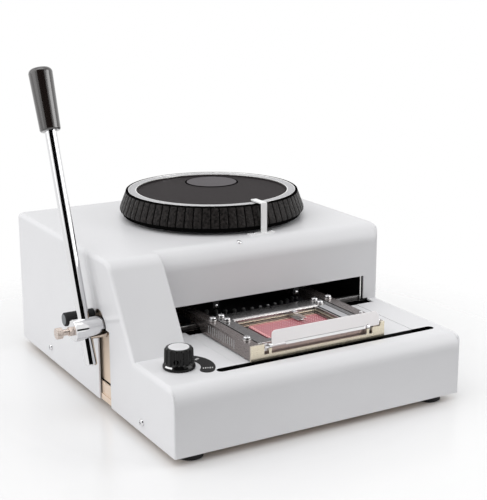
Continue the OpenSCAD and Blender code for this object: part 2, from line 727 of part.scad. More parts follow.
module spindle() color(steel) at_dial() translate([0, 0, base_top + 6.3])
    cylinder(r = spindle_r, h = dial_top - 4.4 - base_top - 6.3);

module index_wheel() color(steel) at_dial() translate([0, 0, index_z]) difference() {
    linear_extrude(index_t) polygon([for (i = [0:2 * characters - 1])
        let (a = i * 180 / characters, r = i % 2 == 0 ? index_r - index_notch : index_r) [r * cos(a), r * sin(a)]]);
    translate([0, 0, -1]) cylinder(r = spindle_r + 0.03, h = index_t + 2);
}

// A wheel whose rim holds one sliding type for each character
module type_wheel(z, t) difference() {
    rotate_extrude($fn = 136) polygon([[spindle_r + 0.03, z - 2], [hub_wheel_r, z - 2], [hub_wheel_r, z + t / 2 - 2],
        [type_r - 9, z + t / 2 - 2], [type_r - 9, z], [wheel_r, z], [wheel_r, z + t], [type_r - 9, z + t],
        [type_r - 9, z + t / 2 + 2], [hub_wheel_r, z + t / 2 + 2], [hub_wheel_r, z + t + 2], [spindle_r + 0.03, z + t + 2]]);
    for (i = [0:characters - 1]) rotate(-90 + i * 360 / characters) translate([type_r, 0, z - 1])
        cylinder(r = punch_r + run, h = t + 2, $fn = 16);
}

module punch_wheel() color(dark) at_dial() type_wheel(punch_wheel_z, punch_wheel_t);
module die_wheel() color(dark) at_dial() type_wheel(die_wheel_z, die_wheel_t);

// One type: a pin with a head, and a small square face at the working end
module type_ring(z0, z1, head_z, face_z) for (i = [0:characters - 1])
    rotate(-90 + i * 360 / characters) translate([type_r, 0, 0]) {
        translate([0, 0, z0]) cylinder(r = punch_r, h = z1 - z0, $fn = 16);
        translate([0, 0, head_z]) cylinder(r = punch_head_r, h = 2, $fn = 16);
        translate([0, 0, face_z]) linear_extrude(1) square([2, 2.6], center = true);
    }

module punches() color(chrome) at_dial()
    type_ring(punch_tip_z + 0.8, punch_top, punch_top - 2, punch_tip_z);
module dies() color(chrome) at_dial()
    type_ring(die_bottom, die_top - 0.8, die_top - 3, die_top - 1);

module pointer() color(chrome) at_body() {
    x0 = dial_x + 1.8;
    w = 6.6;
    y0 = dial_y - dial_r - 2.8;
    difference() {
        span([x0 - 14, y0 - 1.5, body_h], [x0 + w + 9, y0 + 5.2, body_h + 1.2]);
        for (x = [x0 - 9.5, x0 + w + 4.5]) translate([x, y0 + 1.2, body_h - 1]) cylinder(r = 1.6, h = 4);
    }
    span([x0, y0, body_h], [x0 + w, y0 + 1.4, dial_top + 3]);
    span([x0, y0, dial_top + 1.6], [x0 + w, y0 + 22, dial_top + 3]);
}

module pointer_screws() color(chrome) at_body() for (x = [dial_x - 7.7, dial_x + 12.9])
    translate([x, dial_y - dial_r - 1.6, body_h + 0.02]) {
        cylinder(r = 1.5, h = 1.4);
        translate([0, 0, 1.2]) cylinder(r = 2.4, h = 1.3);
    }

module detent_post() color(steel) at_dial() translate([post_dx, post_dy, 0]) {
    translate([0, 0, index_z + index_t + 1]) cylinder(r = post_r, h = bridge_z - index_z - index_t - 1);
    translate([0, 0, index_z - 3]) cylinder(r = 2.5, h = bridge_z - index_z);
}

module detent_arm() color(steel) at_dial() {
    dx = index_r + roller_r + free - post_dx;
    reach = sqrt(dx * dx + post_dy * post_dy);
    aim = atan2(-post_dy, dx);
    translate([post_dx, post_dy, index_z]) rotate(aim) difference() {
        linear_extrude(index_t) polygon(concat(arc(0, 0, post_r, 90, 270), arc(reach, 0, roller_r, -90, 90)));
        translate([0, 0, -1]) cylinder(r = 2.5 + run, h = index_t + 2);
    }
}

// ---- Carriage ----

// A side bar: deep in front of the window, shallow above the rail and the dies
module side_bar(x, w) along_x(x, x + w) polygon([[carriage_front_y + front_t, bar_bottom],
    [face_y - notch_d - 1, bar_bottom], [face_y - notch_d + 4, bar_relief], [bar_end, bar_relief],
    [bar_end, carriage_top], [carriage_front_y + front_t, carriage_top]]);

module carriage_bars() color(dark) at_body() {
    side_bar(carriage_left, bar_w);
    side_bar(carriage_right - right_bar_w, right_bar_w);
    for (x = [frame_left - free, frame_right + free - ledge]) span(
        [x, carriage_front_y + front_t, bar_relief], [x + ledge, bar_end, frame_bottom - free]);
    span([carriage_left, bar_end - tie_w, bar_relief], [carriage_right, bar_end, carriage_top]);
    // shoes that hang over the rail, and glides on the deck
    for (x = [carriage_left, carriage_right - right_bar_w]) difference() {
        span([x, rail_y - 3, rail_top - 3], [x + bar_w, rail_y + rail_w + 3, bar_relief]);
        span([x - 1, rail_y - free, rail_top - 4], [x + bar_w + 1, rail_y + rail_w + free, rail_top + free]);
    }
    for (x = [carriage_left + glide_r, carriage_right - right_bar_w / 2])
        translate([x, carriage_front_y + 12, deck_h + free]) cylinder(r = glide_r, h = bar_bottom - deck_h);
}

// Front plate with its two uprights, and the two lugs that carry the flap's pins
module carriage_front() color(brass) at_body() difference() {
    upright_left = carriage_left + upright_w;
    upright_right = carriage_right - upright_w;
    union() {
        along_y(carriage_front_y, carriage_front_y + front_t) polygon([
            [carriage_left, rack_z - 1], [carriage_right, rack_z - 1], [carriage_right, carriage_top],
            [flap_right + 1.5, carriage_top], [flap_right + 0.5, hinge_z - 1.3],
            [upright_right, hinge_z - 1.3], [upright_right, lip_top],
            [upright_left, lip_top], [upright_left, carriage_top], [carriage_left, carriage_top]]);
        for (x = lug_spots) {
            span([x, carriage_front_y, lip_top - 1], [x + lug_t, carriage_front_y + front_t, hinge_z]);
            rod_along_x(x, x + lug_t, hinge_y, hinge_z, lug_r);
        }
    }
    rod_along_x(flap_left - 10, carriage_right + 1, hinge_y, hinge_z, hinge_r + run);
}

rack_pitch = PI * gear_m;

module feed_rack() color(steel) at_body()
    along_y(carriage_front_y - rack_w, carriage_front_y) translate([pinion_x, 0]) {
        x0 = carriage_left - pinion_x;
        x1 = carriage_right - pinion_x;
        half = rack_pitch / 4 - backlash / 2;
        lean = tan(pressure);
        translate([x0, rack_z + 1.25 * gear_m]) square([x1 - x0, rack_top - rack_z - 1.25 * gear_m]);
        for (i = [ceil((x0 + 3) / rack_pitch):floor((x1 - 3) / rack_pitch)]) translate([i * rack_pitch, rack_z])
            polygon([[-half - 1.3 * gear_m * lean, 1.3 * gear_m], [-half + gear_m * lean, -gear_m],
                [half - gear_m * lean, -gear_m], [half + 1.3 * gear_m * lean, 1.3 * gear_m]]);
    }

module feed_drum() color(steel) at_body() translate([pinion_x, 0, pinion_z]) {
    along_y(carriage_front_y - rack_w, carriage_front_y - free) rotate(90 + 180 / pinion_teeth)
        polygon(gear_points(pinion_teeth));
    translate([0, carriage_front_y - rack_w - 2, 0]) rotate([90, 0, 0]) cylinder(r = drum_r, h = 15);
    translate([0, carriage_front_y + 18, 0]) rotate([90, 0, 0])
        cylinder(r = arbor_r, h = carriage_front_y + 18 - front_y - sheet - 1);
}

// Flat frame that holds the card, with a ledge under the card's ends and a rear finger
module card_frame() color(steel) at_body() {
    w0 = carriage_front_y + card_front;
    w1 = carriage_front_y + card_back;
    difference() {
        span([frame_left, frame_front, frame_bottom], [frame_right, frame_back, carriage_top]);
        span([card_left, w0, frame_bottom - 1], [card_right, w1, carriage_top + 1]);
        span([card_left - ledge, w0, frame_bottom - 1], [card_right + ledge, w1, frame_bottom + card_t + 1.2]);
    }
    span([card_left - ledge, w0, frame_bottom], [guide_x + ledge, w1, frame_bottom + ledge_t]);
    span([guide_x + card_l - ledge, w0, frame_bottom], [card_right + ledge, w1, frame_bottom + ledge_t]);
    span([dial_x - 1, w1 - 18, frame_bottom + card_t + 1.5], [dial_x + 6, w1 + 2, frame_bottom + card_t + 2.5]);
}

// Loose setting-out plate of a card's size, on the frame's ledges
module guide_plate() color(red) at_body() translate([0, 0, frame_bottom + ledge_t + 0.02])
    linear_extrude(card_t) polygon(round_box(guide_x, carriage_front_y + card_front + 0.3,
        guide_x + card_l, carriage_front_y + card_front + 0.3 + card_w, [3, 3, 3, 3]));

// Screw heads on the carriage: place from the carriage's left side and front, and radius
bar_screw_spots = [[7, 87, 3.6], [7, 20, 3.6]];
right_bar_screw_spots = [[-5.5, 92, 3.6], [-5, 33, 2], [-3.4, 5, 1.5]];
frame_screw_spots = [[7.2, 91, 3.6], [6.7, 78, 3.6]];
right_frame_screw_spots = [[-10.7, 91, 3.6], [-11.2, 80, 3.6]];

module pan_screw(r, h) rotate_extrude($fn = 32)
    polygon(concat([[0, 0], [r, 0]], arc(r - 1.2, h - 1.3, 1.2, 0, 80, 4), [[0, h]]));

module cross_screws(x, spots) for (s = spots)
    translate([x + s[0], carriage_front_y + s[1], carriage_top]) difference() {
        pan_screw(s[2], s[2]);
        for (a = [45, 135]) rotate(a)
            translate([-s[2] * 0.65, -0.45, s[2] - 1.2]) cube([s[2] * 1.3, 0.9, 2]);
    }

module bar_screws() color(chrome) at_body() {
    cross_screws(carriage_left, bar_screw_spots);
    cross_screws(carriage_right, right_bar_screw_spots);
}

module frame_screws() color(chrome) at_body() {
    cross_screws(frame_left, frame_screw_spots);
    cross_screws(frame_right, right_frame_screw_spots);
}

// An upright plate on pins, with a lip bent forward and a strip that holds the card's edge down
module clamp_flap() color(grey) at_body() {
    low = hinge_z - 1.1;
    over_lug = hinge_z + lug_r + lug_gap;
    right_lug = lug_spots[1];
    top = carriage_top + flap_h;
    strip_z = carriage_top + free;
    along_y(flap_front, flap_front + flap_t) polygon(concat([[flap_left, low],
        [right_lug - lug_gap, low], [right_lug - lug_gap, over_lug],
        [right_lug + lug_t + lug_gap, over_lug], [right_lug + lug_t + lug_gap, hinge_z - 0.1],
        [flap_right, hinge_z - 0.1], [flap_right, hinge_z + 5.5], [flap_right - 1.5, hinge_z + 11],
        [flap_right - 4.5, top]],
        arc(flap_left + flap_corner, top - flap_corner, flap_corner, 90, 180)));
    along_x(flap_left + 15, right_lug - lug_gap - 2) polygon([[flap_front + 0.1, low],
        [flap_front + 0.1, hinge_z + 0.9], [flap_front - 1.3, low]]);
    span([flap_left + 12, flap_front + flap_t - 0.1, strip_z],
        [right_lug - 6, frame_front + 12.5, strip_z + flap_t]);
    rod_along_x(lug_spots[0], right_lug + lug_t, hinge_y, hinge_z, hinge_r);
}

// ---- Spacing knob ----

module knob() color(black) at_body() translate([kx, ky, 0]) {
    translate([0, 0, knob_z]) difference() {
        rotate_extrude() polygon([[0, 0], [knob_r - 0.8, 0], [knob_r, 0.8], [knob_r - 0.6, 2.6],
            [knob_r - 2.2, 3.4], [knob_r - 2.4, 6], [knob_r - 3.2, knob_h - 1.2],
            [knob_r - 4.4, knob_h], [0, knob_h]]);
        for (i = [0:11]) rotate(i * 30) translate([knob_r - 0.9, 0, 5]) cylinder(r = 1.6, h = knob_h, $fn = 16);
    }
    translate([0, 0, knob_z - 36]) cylinder(r = 3, h = 37);
    translate([4, 0, knob_z - 36]) cylinder(r = 11, h = 5);
}

module knob_bush() color(steel) at_body() translate([kx, ky, 0]) difference() {
    union() {
        translate([0, 0, deck_h - sheet - 9]) cylinder(r = 8, h = 9 - 0.02);
        translate([0, 0, deck_h - sheet - 1]) cylinder(r = 4.95, h = sheet + 1);
    }
    translate([0, 0, deck_h - 20]) cylinder(r = 3 + run, h = 40);
}

module knob_label() color(black) at_body() translate([kx, ky, deck_h]) linear_extrude(label_t) polygon(concat(
    arc(0, 0, label_out, -44, 36, 24),
    arc((label_in + label_out) / 2 * cos(36), (label_in + label_out) / 2 * sin(36),
        (label_out - label_in) / 2, 36, 216, 14),
    arc(0, 0, label_in, 36, -44, 16),
    arc((label_in + label_out) / 2 * cos(44), -(label_in + label_out) / 2 * sin(44),
        (label_out - label_in) / 2, 136, 316, 14)));

base_plate();
feet();
foot_screws();
left_frame();
right_frame();
inner_wall();
upper_bridge();
upper_press_head();
lower_press_head();
bushes();
spindle_bearings();
cover();
cover_lugs();
cover_screws();
deck_table();
window_guard();
carriage_rail();
stop_stud();
stop_rubber();
pointer();
pointer_screws();
knob_bush();
knob_label();
spring_anchor();
drum_bracket();
detent_post();
lever_rod();
lever_grip();
lever_hub();
thumb_screw();
lock_nut();
main_shaft();
main_gear();
spring_arm();
return_spring();
upper_camshaft();
lower_camshaft();
ram();
anvil();
dial_rim();
dial_scale_ring();
dial_disc();
dial_badge();
spindle();
index_wheel();
punch_wheel();
punches();
die_wheel();
dies();
detent_arm();
carriage_bars();
carriage_front();
feed_rack();
bar_screws();
card_frame();
frame_screws();
guide_plate();
clamp_flap();
knob();
feed_drum();
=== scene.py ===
import math

import bmesh
import bpy
from mathutils import Matrix, Vector


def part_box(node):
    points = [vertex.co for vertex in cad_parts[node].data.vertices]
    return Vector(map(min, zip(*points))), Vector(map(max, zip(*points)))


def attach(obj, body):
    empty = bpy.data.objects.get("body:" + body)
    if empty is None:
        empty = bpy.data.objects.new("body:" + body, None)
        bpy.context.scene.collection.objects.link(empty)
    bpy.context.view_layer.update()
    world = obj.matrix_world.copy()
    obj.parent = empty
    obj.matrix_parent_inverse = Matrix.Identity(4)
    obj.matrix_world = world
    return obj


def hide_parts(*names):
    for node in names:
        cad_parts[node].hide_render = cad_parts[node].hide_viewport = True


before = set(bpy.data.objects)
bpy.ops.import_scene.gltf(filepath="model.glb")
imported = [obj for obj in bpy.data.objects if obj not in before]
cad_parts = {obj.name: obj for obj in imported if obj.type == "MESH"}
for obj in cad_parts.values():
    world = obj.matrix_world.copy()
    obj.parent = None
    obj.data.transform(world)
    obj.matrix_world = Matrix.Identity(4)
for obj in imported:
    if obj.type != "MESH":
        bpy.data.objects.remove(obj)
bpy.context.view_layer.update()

MM = 0.001
COVER_LOW, COVER_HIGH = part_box("cover")
CENTRE_X = (COVER_LOW.x + COVER_HIGH.x) / 2 / MM

# Sizes of the housing
LEFT, RIGHT = -160.0, 160.0
FRONT, REAR = -195.0, 195.0
FACE = -55.0                            # wall over the window
DECK = 71.5
TOP = 155.0
FLOOR_GAP = 8.0
SHEET = 1.5
TOP_BEND, REAR_BEND, DECK_BEND, CORNER_BEND, FRONT_CORNER = 20.0, 6.0, 16.0, 5.0, 2.0

# The shoulder on the left: its inner side, the start of its slope at the top, the slope's run,
# its hidden end inside the upper box, and the bends of its outer and inner edges
POD, POD_TOP_Y, POD_RUN, POD_REAR = -102.0, -57.0, 93.0, -30.0
OUTER_BEND, INNER_BEND = 4.5, 2.5

# Openings of the cover
WINDOW = (-98.0, 141.0, 69.5, 98.6)     # left, right, low, high
TABLE_LEFT, TABLE_RIGHT = -78.2, 124.2
NOTCH_RIGHT = 147.0
SLOT_Y, SLOT_HALF = -167.0, 4.5
LEVER_SLOT = (-57.0, -29.0)

# Sizes of what sits on it
DIAL = (23.4, 72.2)
CHARACTERS = 68
DIAL_STEPS = 2 * CHARACTERS             # sides of the dial's round edges
BADGE_TURN, BADGE_OUT = 61.7, 47.6      # degrees and distance from the dial's centre
SHAFT_Y, SHAFT_Z = -36.0, 86.0
LEVER_X, LEVER_LEAN, LEVER_LENGTH, GRIP_LENGTH = -176.0, 21.0, 260.0, 63.0
HUB_RADIUS, ROD_RADIUS, STOP_RADIUS = 11.0, 6.0, 6.8
KNOB = (-128.0, -142.0)
FLUTES, FLUTE_STEPS = 14, 10
CARRIAGE_FRONT, CARRIAGE_TOP = -165.0, 87.2
INNER_SCREWS = ((-40.5, 93.0), (55.2, 93.0))
INNER_TAB_Y = -53.45

# The photograph's camera, found from the housing's straight edges and the dial's ellipses
CAMERA_SPOT = (-580.9, -1045.2, 448.4)
CAMERA_TURN = -29.99
CAMERA_TILT = 14.75
CAMERA_ROLL = -0.07
CAMERA_LENS = 84.135


def pt(x, y, z):
    """A point measured from the housing's centre line, in metres in the frame."""
    return Vector(((x + CENTRE_X) * MM, y * MM, z * MM))


def polar(centre, radius, turn):
    """X and Y at a distance from a centre, in the direction of an angle in radians."""
    return centre[0] + radius * math.cos(turn), centre[1] + radius * math.sin(turn)


# ---- Materials ----

def new_material(name):
    material = bpy.data.materials.new(name)
    material.use_nodes = True
    tree = material.node_tree
    tree.nodes.clear()
    output = tree.nodes.new("ShaderNodeOutputMaterial")
    shader = tree.nodes.new("ShaderNodeBsdfPrincipled")
    tree.links.new(shader.outputs[0], output.inputs[0])
    return material, tree, shader


def noise(tree, scale, detail, stretch=(1, 1, 1)):
    """Noise in the object's own coordinates; scale is in features per metre."""
    coords = tree.nodes.new("ShaderNodeTexCoord")
    mapping = tree.nodes.new("ShaderNodeMapping")
    mapping.inputs["Scale"].default_value = stretch
    texture = tree.nodes.new("ShaderNodeTexNoise")
    texture.inputs["Scale"].default_value = scale
    texture.inputs["Detail"].default_value = detail
    tree.links.new(coords.outputs["Object"], mapping.inputs[0])
    tree.links.new(mapping.outputs[0], texture.inputs["Vector"])
    return texture.outputs["Fac"]


def spread(tree, value, low, high, start=0.3, end=0.7):
    """Maps a texture's middle range onto low..high."""
    node = tree.nodes.new("ShaderNodeMapRange")
    node.inputs["From Min"].default_value = start
    node.inputs["From Max"].default_value = end
    node.inputs["To Min"].default_value = low
    node.inputs["To Max"].default_value = high
    tree.links.new(value, node.inputs["Value"])
    return node.outputs[0]


def blend_colours(tree, factor, first, second):
    """Goes from the first colour, or the first socket's colour, to the second with a factor."""
    node = tree.nodes.new("ShaderNodeMix")
    node.data_type = "RGBA"
    if isinstance(first, tuple):
        node.inputs["A"].default_value = (*first, 1)
    else:
        tree.links.new(first, node.inputs["A"])
    node.inputs["B"].default_value = (*second, 1)
    tree.links.new(factor, node.inputs["Factor"])
    return node.outputs["Result"]


def bump(tree, shader, height, strength, distance, under=None):
    """Bumps a shader's normal by a height, over an earlier bump where one is given."""
    node = tree.nodes.new("ShaderNodeBump")
    node.inputs["Strength"].default_value = strength
    node.inputs["Distance"].default_value = distance
    tree.links.new(height, node.inputs["Height"])
    if under:
        tree.links.new(under, node.inputs["Normal"])
    tree.links.new(node.outputs[0], shader.inputs["Normal"])


def calc(tree, operation, first, second=None):
    """One arithmetic node on sockets or plain numbers."""
    node = tree.nodes.new("ShaderNodeMath")
    node.operation = operation
    for socket, value in zip(node.inputs, (first, second)):
        if value is None:
            continue
        if isinstance(value, (int, float)):
            socket.default_value = value
        else:
            tree.links.new(value, socket)
    return node.outputs[0]


def finish(name, colour, roughness, metallic=0.0, vary=0.06, grain=400, grain_stretch=(1, 1, 1),
           grain_bump=0.05, grain_depth=0.0001, rough_vary=0.08, coat=0.0, specular=0.5, broad_scale=18):
    """One finish: a colour that varies a little, a roughness that varies, and a fine grain."""
    material, tree, shader = new_material(name)
    shader.inputs["Metallic"].default_value = metallic
    shader.inputs["Coat Weight"].default_value = coat
    shader.inputs["Coat Roughness"].default_value = 0.15
    shader.inputs["Specular IOR Level"].default_value = specular
    fine = noise(tree, grain, 4.0, grain_stretch)
    broad = noise(tree, broad_scale, 2.0)
    dark = tuple(c * (1 - vary) for c in colour)
    light = tuple(min(1.0, c * (1 + vary)) for c in colour)
    shade = blend_colours(tree, spread(tree, broad, 0, 1), dark, light)
    tree.links.new(shade, shader.inputs["Base Color"])
    low = max(0.02, roughness - rough_vary / 2)
    rough = spread(tree, fine, low, roughness + rough_vary / 2)
    tree.links.new(rough, shader.inputs["Roughness"])
    bump(tree, shader, fine, grain_bump, grain_depth)
    return material


def opened(material):
    """A material's tree, its shader, and the object's own coordinates."""
    tree = material.node_tree
    shader = next(n for n in tree.nodes if n.type == "BSDF_PRINCIPLED")
    return tree, shader, tree.nodes.new("ShaderNodeTexCoord").outputs["Object"]


def vector_calc(tree, operation, first, second):
    """One vector node on a socket and either another socket or a constant."""
    node = tree.nodes.new("ShaderNodeVectorMath")
    node.operation = operation
    tree.links.new(first, node.inputs[0])
    if isinstance(second, Vector):
        node.inputs[1].default_value = second
    else:
        tree.links.new(second, node.inputs[1])
    return node.outputs["Value" if operation in ("DOT_PRODUCT", "DISTANCE") else "Vector"]


def add_dents(material, dents):
    """Soft folds in a painted wall: a line (a to b) in millimetres, its half width, its depth."""
    tree, shader, coords = opened(material)
    under = shader.inputs["Normal"].links[0].from_socket
    total = None
    for a, b, width, depth in dents:
        start, end = pt(*a), pt(*b)
        along = (end - start).normalized()
        away = vector_calc(tree, "SUBTRACT", coords, start)
        run = vector_calc(tree, "DOT_PRODUCT", away, along)
        inside = calc(tree, "MINIMUM", calc(tree, "MAXIMUM", run, 0.0), (end - start).length)
        nearest = tree.nodes.new("ShaderNodeVectorMath")
        nearest.operation = "SCALE"
        nearest.inputs[0].default_value = along
        tree.links.new(inside, nearest.inputs["Scale"])
        gap = vector_calc(tree, "DISTANCE", away, nearest.outputs[0])
        ratio = calc(tree, "DIVIDE", gap, width * MM)
        square = calc(tree, "MULTIPLY", ratio, ratio)
        fall = calc(tree, "EXPONENT", calc(tree, "MULTIPLY", square, -1.0))
        part = calc(tree, "MULTIPLY", fall, depth)
        total = part if total is None else calc(tree, "ADD", total, part)
    bump(tree, shader, total, 1.0, MM, under)


def paint_where(material, mask, colour):
    """Paints another colour where mask(tree, x, y, z) is 1, with the position in metres."""
    tree, shader, coords = opened(material)
    base = shader.inputs["Base Color"].links[0].from_socket
    split = tree.nodes.new("ShaderNodeSeparateXYZ")
    tree.links.new(coords, split.inputs[0])
    factor = mask(tree, *split.outputs)
    tree.links.new(blend_colours(tree, factor, base, colour), shader.inputs["Base Color"])


def add_dots(material, pitch, share, colour):
    """A grid of small round dots across a flat sheet, with one pitch along each axis."""
    def mask(tree, x, y, z):
        squares = []
        for position, step in zip((x, y), pitch):
            cell = calc(tree, "FRACT", calc(tree, "DIVIDE", position, step * MM))
            away = calc(tree, "SUBTRACT", cell, 0.5)
            squares.append(calc(tree, "MULTIPLY", away, away))
        return calc(tree, "LESS_THAN", calc(tree, "ADD", *squares), share * share)

    paint_where(material, mask, colour)


def paint_shade_below(material, height, colour):
    """Painted shade: a plate made dark under a height in millimetres."""
    paint_where(material, lambda tree, x, y, z: calc(tree, "LESS_THAN", z, height * MM), colour)


ENAMEL = dict(colour=(0.70, 0.70, 0.715), roughness=0.42, vary=0.010, grain=700, grain_bump=0.10,
              grain_depth=0.00008, specular=0.32)
PAINT = finish("cover_enamel", coat=0.05, **ENAMEL)
COVER_PAINT = finish("shell_enamel", coat=0.05, **ENAMEL)
add_dents(COVER_PAINT, [
    ((LEFT, -2, 155), (LEFT, -28, 103), 4.5, -1.3),
    ((LEFT, -16, 152), (LEFT, -36, 110), 5.0, 0.5),
    ((LEFT, -50, 96.5), (LEFT, -80, 106), 2.6, 0.9)])
# near-black inside of the cover and the inner frames: partly primer, partly painted shade so that the
# inside reads dark
PRIMER_SHADE = finish("inside_primer_shade", (0.012, 0.012, 0.013), 0.75, vary=0.2, grain=300, specular=0.2)
ZINC = finish("yellow_zinc", (0.74, 0.67, 0.53), 0.22, metallic=0.85, vary=0.05, grain=700,
               grain_bump=0.02, rough_vary=0.06)
BARE_CREAM = finish("cream_plate", (0.74, 0.60, 0.48), 0.45, vary=0.05, grain=300)
CHROME = finish("chrome", (0.75, 0.75, 0.76), 0.07, metallic=1.0, vary=0.01, grain=900,
                grain_bump=0.015, rough_vary=0.04)
STEEL = finish("ground_steel", (0.52, 0.50, 0.49), 0.30, metallic=1.0, vary=0.05, grain=250,
               grain_stretch=(1, 12, 12), grain_bump=0.05, rough_vary=0.12)
FRAME_STEEL = finish("frame_steel", (0.29, 0.285, 0.285), 0.28, metallic=1.0, vary=0.06, grain=250,
                     grain_stretch=(10, 1, 10), grain_bump=0.08, rough_vary=0.14)
DARK_STEEL = finish("brown_steel", (0.275, 0.242, 0.233), 0.27, metallic=0.9, vary=0.05, grain=250,
                    grain_stretch=(8, 1, 8))
# near-white pale metal: partly polish and partly painted highlight, for bright edges, beads and strips
POLISH_AND_HIGHLIGHT = finish("polish_and_highlight", (0.90, 0.89, 0.88), 0.20, metallic=0.7, vary=0.03, grain=500)
BLACK_METAL = finish("black_metal", (0.010, 0.010, 0.011), 0.5, metallic=0.2, vary=0.2, grain=300,
                     specular=0.3)
CASTING = finish("casting", (0.035, 0.035, 0.04), 0.55, metallic=0.4, vary=0.15, grain=350, grain_bump=0.3)
TYPE_STEEL = finish("type_steel", (0.50, 0.50, 0.51), 0.32, metallic=1.0, vary=0.1, grain=400)
ALUMINIUM = finish("satin_ring", (0.46, 0.46, 0.475), 0.45, metallic=0.4, vary=0.04, grain=600)
BRASS = finish("brass", (0.72, 0.58, 0.46), 0.24, metallic=1.0, vary=0.08, grain=500)
ROSE_NICKEL = finish("rose_nickel", (0.60, 0.52, 0.47), 0.20, metallic=1.0, vary=0.05, grain=500)
BLACK_TEXTURE = finish("moulded_black", (0.014, 0.012, 0.0115), 0.38, vary=0.8, grain=420,
                       grain_bump=1.0, grain_depth=0.0010, specular=0.13, rough_vary=0.3, broad_scale=380)
# flat black without sheen: painted shade in slots, gaps, hollows and grooves, and the print of the scale
# marks
SHADE_AND_PRINT_BLACK = finish("shade_and_print_black", (0.004, 0.004, 0.004), 0.85, vary=0.1, grain=900, specular=0.0)
DISC_BLACK = finish("disc_black", (0.020, 0.016, 0.017), 0.55, vary=0.25, grain=900,
                    grain_bump=0.8, grain_depth=0.0004, specular=0.05, broad_scale=400)
BLACK_GLOSS = finish("gloss_black", (0.012, 0.008, 0.007), 0.14, vary=0.1, grain=700, coat=0.7,
                     specular=0.9)
KNOB_BLACK = finish("knob_black", (0.004, 0.004, 0.004), 0.13, vary=0.1, grain=900, specular=0.22)
LABEL_BLACK = finish("label_black", (0.012, 0.012, 0.012), 0.60, vary=0.1, grain=900, specular=0.25)
SPUN = finish("spun_cap", (0.95, 0.95, 0.96), 0.42, metallic=1.0, vary=0.01, grain=900, grain_bump=0.01,
              rough_vary=0.04)
RUBBER = finish("rubber", (0.014, 0.014, 0.015), 0.68, vary=0.15, grain=900, grain_bump=0.3,
                specular=0.3)
RUBBER_END = finish("rubber_end", (0.16, 0.17, 0.18), 0.60, vary=0.1, grain=900, grain_bump=0.3)
BADGE = finish("badge_plate", (0.052, 0.044, 0.050), 0.42, metallic=0.1, vary=0.12, grain=700, specular=0.1)
WHITE_MARK = finish("white_mark", (0.85, 0.85, 0.85), 0.40, vary=0.02, grain=600)
GREY_MARK = finish("grey_mark", (0.42, 0.42, 0.42), 0.45, vary=0.04, grain=600)
FLAP_PAINT = finish("flap_plate", (0.90, 0.875, 0.88), 0.36, metallic=0.4, vary=0.012, grain=700)
PINK = finish("guide_print", (0.36, 0.068, 0.095), 0.38, vary=0.08, grain=600)
PINK_LINE = finish("guide_line", (0.85, 0.40, 0.38), 0.40, vary=0.04, grain=600)
ROSE_STEEL = finish("rose_steel", (0.48, 0.37, 0.35), 0.30, metallic=0.4, vary=0.08, grain=300)
TABLE_PAINT = finish("table_enamel", **ENAMEL)
add_dots(PINK, (2.6, 4.2), 0.24, (0.90, 0.66, 0.66))
# painted shade: the table's skirt and the carriage's front plate turn black below the deck, where they
# reach down into the slot
paint_shade_below(TABLE_PAINT, DECK - 0.3, (0.004, 0.004, 0.004))
paint_shade_below(ZINC, DECK + 0.4, (0.010, 0.010, 0.008))

NODE_FINISHES = {
    "base_plate": BARE_CREAM, "feet": RUBBER, "foot_screws": STEEL, "left_frame": BARE_CREAM,
    "right_frame": PRIMER_SHADE, "inner_wall": PRIMER_SHADE, "upper_bridge": PRIMER_SHADE,
    "upper_press_head": CASTING, "lower_press_head": CASTING, "bushes": BRASS,
    "spindle_bearings": BRASS, "cover": PAINT, "cover_lugs": BARE_CREAM, "cover_screws": CHROME,
    "deck_table": TABLE_PAINT, "window_guard": BLACK_METAL, "carriage_rail": STEEL,
    "stop_stud": STEEL, "stop_rubber": RUBBER, "pointer": WHITE_MARK, "pointer_screws": CHROME,
    "knob_bush": STEEL, "knob_label": LABEL_BLACK, "spring_anchor": STEEL,
    "drum_bracket": CASTING, "detent_post": STEEL, "lever_rod": CHROME,
    "lever_grip": BLACK_GLOSS, "lever_hub": CHROME, "thumb_screw": ROSE_NICKEL,
    "lock_nut": ROSE_NICKEL, "main_shaft": STEEL, "main_gear": STEEL, "spring_arm": STEEL,
    "return_spring": STEEL, "upper_camshaft": STEEL, "lower_camshaft": STEEL, "ram": STEEL,
    "anvil": STEEL, "dial_rim": BLACK_TEXTURE, "dial_scale_ring": ALUMINIUM,
    "dial_disc": DISC_BLACK, "dial_badge": BADGE, "spindle": CASTING, "index_wheel": CASTING,
    "punch_wheel": CASTING, "punches": TYPE_STEEL, "die_wheel": CASTING, "dies": TYPE_STEEL,
    "detent_arm": STEEL, "carriage_bars": DARK_STEEL, "carriage_front": ZINC,
    "feed_rack": STEEL, "bar_screws": CHROME, "card_frame": FRAME_STEEL,
    "frame_screws": CHROME, "guide_plate": PINK, "clamp_flap": FLAP_PAINT, "knob": KNOB_BLACK,
    "feed_drum": CASTING,
}

# Width of the edges of bare metal that are painted bright as a highlight; the other nodes' edges are only
# softened
EDGED = {
    "carriage_bars": 0.65, "card_frame": 0.45, "clamp_flap": 0.2, "window_guard": 0.3,
    "carriage_rail": 0.3, "carriage_front": 0.3,
}
SOFT_EDGE = 0.25


def round_edges(obj, width, segments, angle):
    """Rounds the edges that are sharper than an angle in degrees."""
    edge = obj.modifiers.new("bevel", "BEVEL")
    edge.width = width * MM
    edge.segments = segments
    edge.limit_method = "ANGLE"
    edge.angle_limit = math.radians(angle)
    return edge


def even_normals(obj):
    normals = obj.modifiers.new("normals", "WEIGHTED_NORMAL")
    normals.keep_sharp = True


